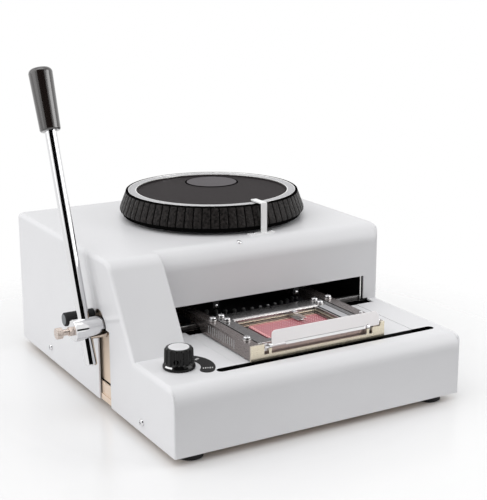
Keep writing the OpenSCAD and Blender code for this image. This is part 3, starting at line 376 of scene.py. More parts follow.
def dress(node, material, bevel):
    """Gives a CAD node its finish, softened edges (painted bright on bare metal as a highlight) and smooth
    curves.
    """
    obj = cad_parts[node]
    obj.data.materials.clear()
    obj.data.materials.append(material)
    weld = obj.modifiers.new("weld", "WELD")
    weld.merge_threshold = 0.01 * MM
    flat = obj.modifiers.new("flat", "DECIMATE")
    flat.decimate_type = "DISSOLVE"
    flat.angle_limit = math.radians(0.5)
    edge = round_edges(obj, bevel, 2, 30)
    if node in EDGED:
        # painted highlight: the bevel takes the near-white finish
        obj.data.materials.append(POLISH_AND_HIGHLIGHT)
        edge.material = 1
    obj.data.shade_smooth()
    even_normals(obj)


for node_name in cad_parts:
    dress(node_name, NODE_FINISHES[node_name], EDGED.get(node_name, SOFT_EDGE))


# ---- Shapes ----

def upright(x, y, z):
    """Local axes along the frame's own, from a point."""
    return lambda a, b, c: pt(x + a, y + b, z + c)


def sideways(x, y, z):
    """Local third axis along +X, the first two along +Y and +Z."""
    return lambda a, b, c: pt(x + c, y + a, z + b)


def forwards(x, y, z):
    """Local third axis along +Y, the first two along +X and +Z."""
    return lambda a, b, c: pt(x + a, y + c, z + b)


def lathe(bm, profile, place, segments=48, closed=False):
    """A turned shape from points (radius, height) along the local third axis."""
    rings = []
    for radius, height in profile:
        count = 1 if radius < 1e-6 else segments
        turns = [2 * math.pi * i / segments for i in range(count)]
        rings.append([bm.verts.new(place(radius * math.cos(a), radius * math.sin(a), height))
                      for a in turns])
    following = rings[1:] + rings[:1] if closed else rings[1:]
    for low, high in zip(rings, following):
        for i in range(segments):
            j = (i + 1) % segments
            quad = (low[i % len(low)], low[j % len(low)], high[j % len(high)], high[i % len(high)])
            corners = list(dict.fromkeys(quad))
            if len(corners) > 2:
                bm.faces.new(corners)


def prism(bm, outline, place, start, end):
    """An outline in the local first two axes, drawn along the third."""
    low = [bm.verts.new(place(a, b, start)) for a, b in outline]
    high = [bm.verts.new(place(a, b, end)) for a, b in outline]
    bm.faces.new(low[::-1])
    bm.faces.new(high)
    for i in range(len(outline)):
        j = (i + 1) % len(outline)
        bm.faces.new((low[i], low[j], high[j], high[i]))


def block(bm, low, high):
    """A box between two corners."""
    prism(bm, [(low[0], low[1]), (high[0], low[1]), (high[0], high[1]), (low[0], high[1])],
          upright(0, 0, 0), low[2], high[2])


def patch(bm, corners):
    """One flat face from points in millimetres: a printed mark."""
    bm.faces.new([bm.verts.new(pt(*corner)) for corner in corners])


def curve_points(x, y, radius, start, end, steps=8):
    """Points along a circle from one angle in degrees to another."""
    return [(x + radius * math.cos(math.radians(start + (end - start) * i / steps)),
             y + radius * math.sin(math.radians(start + (end - start) * i / steps)))
            for i in range(steps + 1)]


def soften(obj, bevel, sharp):
    """Smooth curves, crisp flats and, where asked for, rounded edges."""
    obj.data.shade_smooth()
    if bevel:
        round_edges(obj, bevel, 2, sharp)
    else:
        obj.data.set_sharp_from_angle(angle=math.radians(sharp))
    even_normals(obj)


def new_object(name, bm, materials):
    """An object in the scene from a bmesh, which is freed."""
    bmesh.ops.recalc_face_normals(bm, faces=bm.faces)
    mesh = bpy.data.meshes.new(name)
    bm.to_mesh(mesh)
    bm.free()
    for material in materials:
        mesh.materials.append(material)
    obj = bpy.data.objects.new(name, mesh)
    bpy.context.scene.collection.objects.link(obj)
    return obj


def piece(name, bm, material, body, bevel=0.0, sharp=35):
    """A visible piece that rides on a body."""
    obj = new_object(name, bm, [material])
    soften(obj, bevel, sharp)
    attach(obj, body)
    return obj


def boxes(name, corners, material, body, bevel=0.0):
    """A visible piece made of boxes, each from its low corner to its high one."""
    bm = bmesh.new()
    for low, high in corners:
        block(bm, low, high)
    piece(name, bm, material, body, bevel)


def settle(obj):
    """Turns an object's modifiers into its mesh."""
    bpy.context.view_layer.update()
    evaluated = obj.evaluated_get(bpy.context.evaluated_depsgraph_get())
    result = bpy.data.meshes.new_from_object(evaluated)
    obj.modifiers.clear()
    old = obj.data
    obj.data = result
    bpy.data.meshes.remove(old)


def combine(obj, tool, operation):
    """Adds a solid to an object, or cuts it out of it, and removes the solid."""
    change = obj.modifiers.new("change", "BOOLEAN")
    change.operation = operation
    change.object = tool
    change.solver = "EXACT"
    change.material_mode = "TRANSFER"
    settle(obj)
    mesh = tool.data
    bpy.data.objects.remove(tool)
    bpy.data.meshes.remove(mesh)


# ---- Cover ----

def bent_solid(name, profile, x0, x1, radius_of, material):
    """A prism along X from a profile in Y and Z, each edge rounded by radius_of(end, end)."""
    bm = bmesh.new()
    prism(bm, profile, sideways(0, 0, 0), x0, x1)
    weights = bm.edges.layers.float.new("bevel_weight_edge")
    for edge in bm.edges:
        ends = [((v.co.x / MM - CENTRE_X), v.co.y / MM, v.co.z / MM) for v in edge.verts]
        edge[weights] = max(0.0, radius_of(*ends)) / TOP_BEND       # a share of the widest one
    obj = new_object(name, bm, [material])
    bend = obj.modifiers.new("bend", "BEVEL")
    bend.width = TOP_BEND * MM
    bend.segments = 10
    bend.limit_method = "WEIGHT"
    bend.use_clamp_overlap = False
    settle(obj)
    return obj


def near(value, target):
    return abs(value - target) < 0.01


def shoulder_bend(radius=18.0, steps=12):
    """The bend from the top into the shoulder's slope: points with the direction into the room."""
    turn = math.atan2(TOP - FLOOR_GAP, POD_RUN)
    middle = (POD_TOP_Y + radius * math.tan(turn / 2), TOP - radius)
    points = []
    for i in range(steps + 1):
        angle = turn * (1 - i / steps)
        ny, nz = math.sin(angle), -math.cos(angle)
        points.append((middle[0] - radius * ny, middle[1] - radius * nz, ny, nz))
    return points


POD_BEND = shoulder_bend()


def cover_solids(inset, material):
    """The upper box, the deck and the shoulder, or with an inset the room inside each."""
    left, right = LEFT + inset, RIGHT - inset
    rear, face, front = REAR - inset, FACE + inset, FRONT + inset
    top, deck = TOP - inset, DECK - inset
    low = FLOOR_GAP - (1 if inset else 0)
    pod = POD - inset
    slope = POD_RUN / (TOP - FLOOR_GAP)
    shift = inset * math.sqrt(1 + slope * slope)
    pod_low = POD_TOP_Y + shift - (TOP - low) * slope
    pod_bend = [(bend_y + inset * ny, bend_z + inset * nz) for bend_y, bend_z, ny, nz in POD_BEND]

    def box_radius(a, b):
        if near(a[2], top) and near(b[2], top):
            if near(a[1], face) and near(b[1], face):
                return TOP_BEND - inset
            if near(a[1], rear) and near(b[1], rear):
                return REAR_BEND - inset
            return CORNER_BEND - inset
        if near(a[2], b[2]):
            return 0
        return CORNER_BEND - inset

    def deck_radius(a, b):
        if near(a[2], deck) and near(b[2], deck):
            if near(a[1], front) and near(b[1], front):
                return DECK_BEND - inset
            return CORNER_BEND - inset if near(a[0], b[0]) else 0
        upright_front = near(a[1], front) and near(b[1], front) and not near(a[2], b[2])
        return FRONT_CORNER - inset if upright_front else 0

    def pod_radius(a, b):
        if near(a[1], b[1]) and near(a[2], b[2]) or near(a[2], low) and near(b[2], low):
            return 0
        if near(a[1], POD_REAR) and near(b[1], POD_REAR):
            return 0
        return (OUTER_BEND if near(a[0], left) else INNER_BEND) - inset

    box = bent_solid("box", [(face, low), (face, top), (rear, top), (rear, low)], left, right,
                     box_radius, material)
    slab = bent_solid("slab", [(front, low), (front, deck), (0, deck), (0, low)], left, right,
                      deck_radius, material)
    shoulder = bent_solid("shoulder", [(pod_low, low), *pod_bend, (POD_REAR, top), (POD_REAR, low)],
                          left, pod, pod_radius, material)
    return box, slab, shoulder


def make_cover():
    shell, slab, shoulder = cover_solids(0, COVER_PAINT)
    combine(shell, slab, "UNION")
    combine(shell, shoulder, "UNION")
    # the rooms' walls take the near-black primer: partly painted shade
    for room in cover_solids(SHEET, PRIMER_SHADE):
        combine(shell, room, "DIFFERENCE")

    def cut_block(low, high, material=COVER_PAINT):
        bm = bmesh.new()
        block(bm, low, high)
        combine(shell, new_object("tool", bm, [material]), "DIFFERENCE")

    def cut_round(radius, place, segments=48):
        bm = bmesh.new()
        lathe(bm, [(0, -5), (radius, -5), (radius, 5), (0, 5)], place, segments)
        combine(shell, new_object("tool", bm, [COVER_PAINT]), "DIFFERENCE")

    # the window, and the gap before it that the carriage bars pass
    left, right, low, high = WINDOW
    under, over = DECK - 5, DECK + 5
    cut_block((left, FACE - 2, low), (right, FACE + 3, high))
    cut_block((TABLE_LEFT, FACE - 11, under), (NOTCH_RIGHT, FACE + 3, DECK + 1.5))

    # the round-ended slot along the front, and the place of the loose table; their cut walls are flat black
    # as painted shade
    bm = bmesh.new()
    half = SLOT_HALF
    prism(bm, curve_points(NOTCH_RIGHT - half, SLOT_Y, half - 0.01, -90, 90)
          + curve_points(POD + half, SLOT_Y, half - 0.01, 90, 270), upright(0, 0, 0), under, over)
    combine(shell, new_object("tool", bm, [SHADE_AND_PRINT_BLACK]), "DIFFERENCE")
    cut_block((TABLE_LEFT, SLOT_Y, under), (TABLE_RIGHT, FACE - 10, over), SHADE_AND_PRINT_BLACK)

    # two circles and a slot for the lever's hub and rod, then the dial's and the knob's holes
    cut_round(13.2, sideways(LEFT, SHAFT_Y - 0.7, SHAFT_Z), 64)
    cut_round(12.4, sideways(LEFT, SHAFT_Y + 3.2, SHAFT_Z + 4.5), 64)
    cut_block((LEFT - 4, LEVER_SLOT[0], 0), (LEFT + 4, LEVER_SLOT[1], SHAFT_Z))
    cut_round(22, upright(*DIAL, TOP))
    cut_round(5, upright(*KNOB, DECK))

    # slivers left by the cuts would shade as dark lines
    shell.name = "cover_shell"
    bm = bmesh.new()
    bm.from_mesh(shell.data)
    bmesh.ops.remove_doubles(bm, verts=bm.verts, dist=0.02 * MM)
    bmesh.ops.dissolve_limit(bm, angle_limit=math.radians(0.4), verts=bm.verts, edges=bm.edges,
                             delimit={"MATERIAL"})
    bm.to_mesh(shell.data)
    bm.free()
    soften(shell, 0.35, 50)
    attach(shell, "root")
    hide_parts("cover")


make_cover()


# ---- Dial ----

def make_slats():
    """The ribs round the dial's rim, one for each character."""
    outer = [(99.9, 162.9), (101.5, 163.3), (101.9, 164.6), (101.6, 166.6), (99.8, 171.6),
             (97.6, 177.4), (95.5, 182.6), (94.9, 183.7), (94.0, 184.1)]
    inner = [(radius - 1.6, z) for radius, z in outer]
    # where across its place each column of points stands, its profile, and how far it swells
    across = ((-0.43, inner, 0.0), (-0.43, outer, -0.35), (-0.36, outer, 0.0), (0.0, outer, 0.12),
              (0.36, outer, 0.0), (0.43, outer, -0.35), (0.43, inner, 0.0))
    bm = bmesh.new()
    for i in range(CHARACTERS):
        columns = []
        for offset, profile, swell in across:
            turn = 2 * math.pi * (i + offset) / CHARACTERS
            columns.append([bm.verts.new(pt(*polar(DIAL, radius + swell, turn), z))
                            for radius, z in profile])
        for first, second in zip(columns, columns[1:]):
            for k in range(len(outer) - 1):
                bm.faces.new((first[k], second[k], second[k + 1], first[k + 1]))
        bm.faces.new([column[0] for column in columns])
        bm.faces.new([column[-1] for column in columns][::-1])
    piece("dial_slats", bm, BLACK_TEXTURE, "dial", sharp=50)


def make_dial():
    def ring(name, profile, material, slot, sharp=35, centre=DIAL, sides=DIAL_STEPS):
        bm = bmesh.new()
        lathe(bm, profile, upright(*centre, 0), sides, closed=True)
        return piece(name, bm, material, "dial", sharp=sharp)

    # the band under the ribs and the core between them: black plastic, made flat black as painted shade
    # between the ribs
    core = ring("dial_rim_core", [
        (88.2, 158.4), (97.5, 158.4), (98.6, 158.9), (99.4, 162.2), (100.2, 162.6), (100.2, 166.0),
        (94.0, 182.4), (93.6, 184.0), (83.5, 184.0), (83.5, 182.6), (88.2, 182.6)],
        SHADE_AND_PRINT_BLACK, "black_plastic")
    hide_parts("dial_rim")
    make_slats()

    # a raised bead round the disc, and one round the badge in flat black as painted shade of the badge's
    # recess
    ring("disc_bead", [(81.7, 182.5), (82.0, 183.2), (82.9, 183.4), (83.4, 183.4), (83.4, 182.5)],
         DISC_BLACK, "black_plastic", 50)
    ring("badge_rim", [(28.6, 182.5), (29.4, 183.1), (29.9, 183.1), (30.6, 182.5)],
         SHADE_AND_PRINT_BLACK, "black_plastic", 60, polar(DIAL, BADGE_OUT, math.radians(BADGE_TURN)), 96)

    # polished bead inside the scale ring, painted near-white as a highlight; the flat black lip outside it,
    # black plastic darkened as painted shade; and the ring's bright edge, painted near-white as a highlight
    ring("ring_bead", [(83.3, 183.9), (83.4, 184.85), (83.9, 185.0), (84.3, 184.8), (84.3, 183.9)],
         POLISH_AND_HIGHLIGHT, "chrome", 60)
    ring("rim_lip", [(92.4, 184.4), (92.5, 185.1), (94.4, 185.2), (95.0, 184.7), (95.2, 183.6),
                     (93.9, 183.6)], SHADE_AND_PRINT_BLACK, "black_plastic", 60)
    ring("ring_edge", [(91.7, 184.5), (91.8, 185.1), (92.2, 185.25), (92.45, 185.0), (92.45, 184.5)],
         POLISH_AND_HIGHLIGHT, "chrome", 60)

    # short marks between the characters' places on the scale
    bm = bmesh.new()
    for i in range(CHARACTERS):
        turn = 2 * math.pi * (i + 0.5) / CHARACTERS
        patch(bm, [(*polar(polar(DIAL, radius, turn), side, turn + math.pi / 2), 184.83)
                   for radius, side in ((89.4, -0.16), (90.8, -0.16), (90.8, 0.16), (89.4, 0.16))])
    piece("scale_marks", bm, SHADE_AND_PRINT_BLACK, "dial")


make_dial()


# ---- Lever ----

def lever_place(height, back=0.0):
    """Local third axis up along the lever at rest, from a height above its shaft and a distance
    behind its middle line."""
    lean = math.radians(LEVER_LEAN)
    rise, run = math.cos(lean), math.sin(lean)
    return lambda a, b, c: pt(LEVER_X + a, SHAFT_Y + (b + back) * rise + (height + c) * run,
                              SHAFT_Z - (b + back) * run + (height + c) * rise)


def make_lever():
    # pale end of the rubber stop, which rests against the rod behind the hub
    back = ROD_RADIUS + STOP_RADIUS + 0.3
    height = math.sqrt((HUB_RADIUS + STOP_RADIUS + 0.4) ** 2 - back ** 2)
    middle = lever_place(height, back)(0, 0, 0) / MM
    bm = bmesh.new()
    lathe(bm, [(0, -191.12), (3.2, -191.12), (5.2, -191.05), (5.9, -190.6), (5.9, -190.2),
               (0, -190.2)], sideways(0, middle.y, middle.z), 48)
    piece("stop_end", bm, RUBBER_END, "root", sharp=60)

    # turned thread of the thumb screw
    bm = bmesh.new()
    thread = []
    x = -199.6
    while x < -194.0:
        thread += [(2.85, x), (3.18, x + 0.25), (3.18, x + 0.4), (2.85, x + 0.65)]
        x += 0.8
    lathe(bm, thread, sideways(0, SHAFT_Y, SHAFT_Z), 32)
    piece("thread", bm, ROSE_NICKEL, "lever", sharp=60)

    # rim of the grip's lower mouth
    bm = bmesh.new()
    lathe(bm, [(6.1, 0), (9.4, -0.15), (9.75, 0.3), (9.75, 0.9), (6.1, 0.9)],
          lever_place(LEVER_LENGTH - GRIP_LENGTH), 48, closed=True)
    piece("grip_mouth", bm, BLACK_GLOSS, "lever", sharp=60)


make_lever()


# ---- Pointer and small fittings on the cover ----

def make_fittings():
    # domed screw on the front bend of the cover, at an angle round the bend
    lift = math.radians(117)
    out_y, out_z = math.cos(lift), math.sin(lift)
    spot = (-8.2, FACE + TOP_BEND * (1 + out_y), TOP - TOP_BEND * (1 - out_z))

    def on_bend(a, b, c):
        return pt(spot[0] + a, spot[1] + b * out_z + c * out_y, spot[2] - b * out_y + c * out_z)

    bm = bmesh.new()
    lathe(bm, [(2.6, -0.6), (2.6, 0.5), (2.2, 1.1), (1.3, 1.5), (0, 1.65)], on_bend, 32)
    piece("bend_screw", bm, CHROME, "root", sharp=60)

    # crossed slots in the pointer's screws, as flat black patches: painted shade
    bm = bmesh.new()
    for x in (DIAL[0] - 7.7, DIAL[0] + 12.9):
        for turn in (25, 115):
            c, s = math.cos(math.radians(turn)), math.sin(math.radians(turn))
            patch(bm, [(x + c * a - s * b, DIAL[1] - 103.6 + s * a + c * b, TOP + 2.54)
                       for a, b in ((-1.6, -0.25), (1.6, -0.25), (1.6, 0.25), (-1.6, 0.25))])
    piece("pointer_slot_shade", bm, SHADE_AND_PRINT_BLACK, "root")

    # turned-up edge of the base, seen through the slot in the left wall, and a black strip in the gap over
    # it: painted shade
    boxes("base_flange", [((-156.9, -58.0, 9.0), (-155.1, -24.0, 26.6))],
          BARE_CREAM, "root", 0.3)
    boxes("plate_seam_shade", [((-155.4, -58.0, 26.6), (-155.02, -24.0, 28.2))],
          SHADE_AND_PRINT_BLACK, "root")


make_fittings()


# ---- Spacing knob ----

def make_knob():
    # body with broad flutes between narrow ribs, on a sloping skirt: height, radius, flute depth
    levels = [(72.2, 15.2, 0.0), (73.0, 15.4, 0.0), (74.6, 15.2, 0.0), (76.6, 14.0, 0.0),
              (77.2, 13.7, 0.35), (78.0, 13.8, 1.1), (89.2, 13.4, 1.1), (90.2, 13.2, 0.9),
              (91.1, 12.6, 0.45), (91.6, 11.6, 0.1), (91.6, 10.4, 0.0), (91.2, 9.9, 0.0), (91.2, 0.0, 0.0)]
    bm = bmesh.new()
    sides = FLUTES * FLUTE_STEPS
    rings = []
    for z, radius, depth in levels:
        ring = []
        for i in range(sides if radius else 1):
            wave = 0.5 - 0.5 * math.cos(2 * math.pi * i / FLUTE_STEPS)
            out = radius - depth * 1.15 * min(1.0, 1.6 * wave)
            ring.append(bm.verts.new(pt(*polar(KNOB, out, 2 * math.pi * i / sides), z)))
        rings.append(ring)
    for low, high in zip(rings, rings[1:]):
        for i in range(len(low)):
            j = (i + 1) % len(low)
            quad = (low[i], low[j], high[j % len(high)], high[i % len(high)])
            bm.faces.new(list(dict.fromkeys(quad)))
    bm.faces.new(rings[0][::-1])
    body = piece("knob_body", bm, KNOB_BLACK, "spacing", sharp=40)
    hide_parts("knob")

    bm = bmesh.new()
    lathe(bm, [(9.7, 91.2), (9.75, 91.75), (9.5, 91.95), (9.0, 92.0), (8.6, 91.8), (4.0, 91.86),
               (0, 91.9), (0, 91.2)], upright(*KNOB, 0), 64)
    piece("knob_cap", bm, SPUN, "spacing", sharp=50)

    # white mark on the skirt
    bm = bmesh.new()
    for start in (186, 194, 202, 210):
        a, b = math.radians(start), math.radians(start + 8)
        patch(bm, [(*polar(KNOB, radius, turn), z) for turn, radius, z in
                   ((a, 15.22, 74.8), (b, 15.22, 74.8), (b, 14.45, 76.2), (a, 14.45, 76.2))])
    piece("knob_mark", bm, WHITE_MARK, "spacing")

    # set screw in the knob's side, its hollow flat black as painted shade
    aim = math.radians(231.4)

    def on_side(u, v, w):
        return pt(*polar(polar(KNOB, 12.4 + w, aim), u, aim + math.pi / 2), 80.8 + v)

    bm = bmesh.new()
    lathe(bm, [(0, 0.2), (1.5, 0.2), (1.6, 1.1), (2.1, 1.25), (2.4, 1.0), (2.4, -0.8)], on_side, 24)
    piece("set_screw_hole", bm, SHADE_AND_PRINT_BLACK, "spacing", sharp=60)

    # plain marks near the label's two ends: direction, distance from the knob, length
    bm = bmesh.new()
    for degrees, radius, length in (
            (-37, 22.6, 2.4), (-35, 24.6, 3.4), (-34, 26.6, 2.6), (-33, 28.6, 3.4),
            (-32, 30.6, 2.4), (23, 24.4, 2.4), (24, 26.4, 3.2), (25, 28.4, 2.6)):
        turn = math.radians(degrees)
        patch(bm, [(*polar(polar(KNOB, radius - t, turn), s * length, turn + math.pi / 2), DECK + 0.46)
                   for s, t in ((-0.5, -0.4), (0.5, -0.4), (0.5, 0.4), (-0.5, 0.4))])
    piece("label_marks", bm, WHITE_MARK, "root")


make_knob()


# ---- Carriage ----

def make_carriage():
    y0, top = CARRIAGE_FRONT, CARRIAGE_TOP

    # graduations on the left bar's outer side, every fifth one longer
    bm = bmesh.new()
    for k in range(13):
        y = y0 + 32.0 + k * 4.2
        low = 76.6 if k % 5 else 75.2
        patch(bm, [(-65.06, y + s, z) for s, z in
                   ((-0.55, low), (0.55, low), (0.55, 84.6), (-0.55, 84.6))])
    piece("bar_marks", bm, GREY_MARK, "carriage")

    # black strip in the joint between each bar and the card frame: painted shade of the gap
    boxes("bar_joint_shade", [((x, -158, top - 0.5), (x + 1.1, -70, top + 0.12)) for x in (-54.6, 74.0)],
          SHADE_AND_PRINT_BLACK, "card_slide")

    # plain washers under the heads of the bars' and the frame's screws
    for name, body, radius, spots in (
            ("bar_washers", "carriage", 4.4, ((-58, -78), (-58, -145), (82, -73))),
            ("frame_washers", "card_slide", 4.3, ((-46.5, -74), (-47, -87), (64.5, -74), (64, -85)))):
        bm = bmesh.new()
        for spot in spots:
            lathe(bm, [(0, top + 0.05), (radius, top + 0.05), (radius, top + 0.5),
                       (radius - 0.3, top + 0.7), (0, top + 0.7)], upright(*spot, 0), 24)
        piece(name, bm, STEEL, body, sharp=60)

    # polished strip along the rear of the card window, its near-white partly painted highlight; the light
    # strip beside the window; and black lines along both, painted shade in their grooves
    boxes("rear_strip", [((-40.5, -90.8, top), (58, -86.5, top + 0.7))],
          POLISH_AND_HIGHLIGHT, "card_slide", 0.3)
    boxes("frame_groove_shade", [((-40.5, -86.2, top), (60, -85.2, top + 0.3)),
                            ((56.6, -158, top), (57.7, -92, top + 0.3)),
                            ((66.6, -158, top), (67.8, -92, top + 0.3))],
          SHADE_AND_PRINT_BLACK, "card_slide")
    boxes("side_strip", [((57.8, -158, top), (66.5, -92, top + 0.6))],
          ALUMINIUM, "card_slide", 0.25)

    # nickel finger over the guide plate with its small clip
    bm = bmesh.new()
    prism(bm, [(23.5, -88), (23.5, -114), (24.5, -116.5), (27.5, -116.5), (28.5, -114), (28.5, -88)],
          upright(0, 0, 0), 86.3, 86.9)
    piece("finger", bm, ROSE_NICKEL, "card_slide", bevel=0.2)
    bm = bmesh.new()
    prism(bm, [(23.5, -92), (23.5, -98), (29, -98), (29, -92)], upright(0, 0, 0), 87.1, 88.1)
    lathe(bm, [(1.5, 87.9), (1.5, 88.6), (0.9, 89.0), (0, 89.1)], upright(26.2, -95, 0), 20)
    piece("finger_clip", bm, CHROME, "card_slide", bevel=0.15)

    # steps round the inside of the card window, and the card's stop at its rear
    boxes("window_steps", [((-41.0, -92.6, 83.4), (55.5, -91.0, 84.4)),
                           ((53.6, -150.9, 83.4), (55.5, -92.6, 84.4))],
          ZINC, "card_slide", 0.2)
    boxes("window_lining", [((-41.0, -95.2, 81.6), (55.4, -92.7, 83.0)),
                            ((51.0, -150.9, 81.6), (53.4, -95.3, 83.0)),
                            ((-40.9, -150.9, 81.6), (-39.6, -95.3, 83.0))],
          DARK_STEEL, "card_slide")
    boxes("window_stop", [((-39.5, -97.2, 81.7), (50.9, -95.9, 82.3))],
          BRASS, "card_slide", 0.2)

    # light border of the guide plate
    bm = bmesh.new()
    outline = [(-27.5, -149.2), (54.9, -149.2), (54.9, -98.6), (-27.5, -98.6)]
    inset = [(-26.2, -148.0), (53.6, -148.0), (53.6, -99.9), (-26.2, -99.9)]
    outer, inner = ([bm.verts.new(pt(x, y, 81.5)) for x, y in side] for side in (outline, inset))
    for i in range(4):
        j = (i + 1) % 4
        bm.faces.new((outer[i], outer[j], inner[j], inner[i]))
    piece("guide_border", bm, PINK_LINE, "card_slide")

    # polished caps on the flap's lugs, its bright rolled lip, and a grey line along its fold: painted shade
    bm = bmesh.new()
    for x in (-45.6, 66.0):
        lathe(bm, [(0, 0), (1.9, 0), (2.25, 0.3), (2.25, 3.1), (1.9, 3.4), (0, 3.4)],
              sideways(x, y0 + 1.0, 84.5), 24)
    block(bm, (-49.6, y0 + 0.2, 82.6), (-45.4, y0 + 1.8, 84.6))
    piece("lug_caps", bm, CHROME, "carriage", bevel=0.2)
    bm = bmesh.new()
    prism(bm, [(y0 + 0.36, 85.3), (y0 - 1.0, 83.45), (y0 - 1.15, 83.6), (y0 + 0.2, 85.5)],
          sideways(0, 0, 0), -26.5, 63.2)
    piece("flap_lip", bm, WHITE_MARK, "flap", bevel=0.1)
    boxes("flap_fold_shade", [((-28.0, y0 + 0.28, 85.75), (64.0, y0 + 0.42, 86.15))],
          GREY_MARK, "flap")

    # cheeks between the uprights and the flap's lugs
    boxes("front_cheeks", [((x0, y0 + 2.6, 79.4), (x1, y0 + 3.3, 86.6))
                           for x0, x1 in ((-50.4, -45.6), (69.4, 72.6))],
          FLAP_PAINT, "carriage", 0.15)

    # rosy steel face of the card frame below the flap
    boxes("frame_face", [((-50.0, y0 + 4.55, 76.2), (72.5, y0 + 4.9, 87.0))],
          ROSE_STEEL, "card_slide", 0.1)


make_carriage()


# ---- Inside the window ----

def make_inside():
    # two screws on small black tabs behind the window's upper edge
    tabs, screws = bmesh.new(), bmesh.new()
    for x, z in INNER_SCREWS:
        block(tabs, (x - 3.4, INNER_TAB_Y, z - 2.6), (x + 3.4, -52.6, 104))
        lathe(screws, [(0, 0.1), (1.7, 0.1), (1.7, -0.7), (1.2, -1.2), (0, -1.4)],
              forwards(x, INNER_TAB_Y, z), 20)
    piece("inner_tabs", tabs, BLACK_METAL, "root", bevel=0.2)
    piece("inner_screws", screws, CHROME, "root", sharp=60)

    # painted highlights: near-white strips on the folded edge of the window guard and along the rail's
    # front
    boxes("guard_edge_highlight", [((137.6, -53.6, 73.0), (138.5, -53.15, 99.5)),
                         ((138.6, -53.6, 98.7), (141.0, -53.15, 99.5)),
                         ((106.0, -51.2, 75.2), (137.3, -51.02, 75.95))],
          POLISH_AND_HIGHLIGHT, "root")


make_inside()


# ---- Stage, light and camera ----

FLOOR_COLOUR = (0.81, 0.81, 0.815)
FADE_START, FADE_END = 0.24, 0.46       # metres from the middle
CARD_BLACK = (0.004, 0.004, 0.004)
LIGHT_FROM = (-0.75, 0.35, 0.56)        # the studio's brighter side
STUDIO_DIM, STUDIO_BRIGHT = 0.08, 1.16


def make_floor():
    """A pale round floor that fades into the white behind it."""
    bm = bmesh.new()
    bmesh.ops.create_circle(bm, cap_ends=True, segments=96, radius=3.0)
    floor = new_object("floor", bm, [])
    material, tree, shader = new_material("floor")
    shader.inputs["Base Color"].default_value = (*FLOOR_COLOUR, 1)
    shader.inputs["Roughness"].default_value = 0.20
    coords = tree.nodes.new("ShaderNodeTexCoord")
    far = tree.nodes.new("ShaderNodeVectorMath")
    far.operation = "LENGTH"
    tree.links.new(coords.outputs["Object"], far.inputs[0])
    clear = tree.nodes.new("ShaderNodeBsdfTransparent")
    fade = tree.nodes.new("ShaderNodeMixShader")
    tree.links.new(spread(tree, far.outputs["Value"], 0, 1, FADE_START, FADE_END), fade.inputs[0])
    tree.links.new(shader.outputs[0], fade.inputs[1])
    tree.links.new(clear.outputs[0], fade.inputs[2])
    output = next(n for n in tree.nodes if n.type == "OUTPUT_MATERIAL")
    tree.links.new(fade.outputs[0], output.inputs[0])
    floor.data.materials.append(material)


def make_world():
    """A studio that is plain white to the eye and in mirrors, and lights from one side."""
    world = bpy.data.worlds.new("studio")
    bpy.context.scene.world = world
    world.use_nodes = True
    tree = world.node_tree
    background = tree.nodes["Background"]
    background.inputs["Color"].default_value = (1, 1, 1, 1)
    coords = tree.nodes.new("ShaderNodeTexCoord")
    lean = vector_calc(tree, "DOT_PRODUCT", coords.outputs["Generated"],
                       Vector(LIGHT_FROM).normalized())
    soft = spread(tree, lean, STUDIO_DIM, STUDIO_BRIGHT, -0.5, 0.9)
    rays = tree.nodes.new("ShaderNodeLightPath").outputs
    mirrored = calc(tree, "MAXIMUM", rays["Is Glossy Ray"], rays["Is Transmission Ray"])
    seen = calc(tree, "MAXIMUM", rays["Is Camera Ray"], mirrored)
    strength = tree.nodes.new("ShaderNodeMix")
    tree.links.new(seen, strength.inputs[0])
    tree.links.new(soft, strength.inputs[2])
    strength.inputs[3].default_value = 1.0
    tree.links.new(strength.outputs[0], background.inputs["Strength"])


def point_at(obj, spot, aim):
    """Stands an object at a spot, with its face or its light towards another."""
    obj.location = spot
    obj.rotation_euler = (Vector(aim) - Vector(spot)).to_track_quat("-Z", "Y").to_euler()


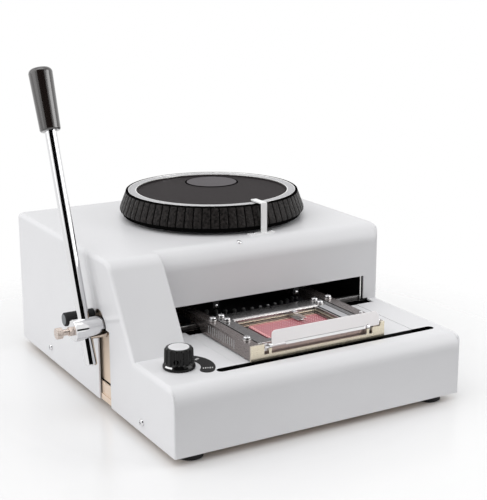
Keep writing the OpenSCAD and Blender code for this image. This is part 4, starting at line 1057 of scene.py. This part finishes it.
def make_card(name, spot, aim, size):
    """A black studio card that only shows in reflections."""
    bpy.ops.mesh.primitive_plane_add(size=1)
    card = bpy.context.object
    card.name = name
    card.scale = (size[0], size[1], 1)
    point_at(card, spot, aim)
    material, tree, shader = new_material(name)
    shader.inputs["Base Color"].default_value = (*CARD_BLACK, 1)
    shader.inputs["Roughness"].default_value = 1.0
    shader.inputs["Specular IOR Level"].default_value = 0.0
    card.data.materials.append(material)
    card.visible_camera = False
    card.visible_diffuse = False
    card.visible_shadow = False
    card.visible_transmission = False


def make_lamp(name, spot, aim, size, power):
    """A square white lamp: its side in metres, its power in watts."""
    lamp = bpy.data.lights.new(name, "AREA")
    lamp.shape = "RECTANGLE"
    lamp.size = lamp.size_y = size
    lamp.energy = power
    obj = bpy.data.objects.new(name, lamp)
    bpy.context.scene.collection.objects.link(obj)
    point_at(obj, spot, aim)


def make_camera():
    data = bpy.data.cameras.new("camera")
    data.lens = CAMERA_LENS
    data.sensor_width = 36
    data.sensor_fit = "AUTO"
    camera = bpy.data.objects.new("camera", data)
    bpy.context.scene.collection.objects.link(camera)
    turn, tilt = math.radians(CAMERA_TURN), math.radians(CAMERA_TILT)
    ahead = Vector((-math.sin(turn) * math.cos(tilt), math.cos(turn) * math.cos(tilt), -math.sin(tilt)))
    camera.rotation_mode = "QUATERNION"
    roll = Matrix.Rotation(math.radians(CAMERA_ROLL), 4, "Z").to_quaternion()
    camera.rotation_quaternion = ahead.to_track_quat("-Z", "Y") @ roll
    camera.location = pt(*CAMERA_SPOT)
    bpy.context.scene.camera = camera


make_floor()
make_world()
make_card("dark_card", (-0.62, -1.05, 0.90), (-0.17, 0.0, 0.20), (1.8, 1.5))
make_card("low_card", (0.30, -1.10, 0.42), (-0.17, -0.04, 0.09), (0.7, 0.34))
make_lamp("key", (-1.5, 0.45, 1.1), (-0.05, 0.05, 0.1), 1.6, 5.5)
make_lamp("fill", (0.75, -0.64, 0.56), (0, -0.05, 0.12), 0.65, 3.7)
make_lamp("top", (-0.3, -0.25, 1.9), (0, 0, 0.1), 1.6, 9.4)
make_camera()
bpy.context.scene.view_settings.view_transform = "Standard"
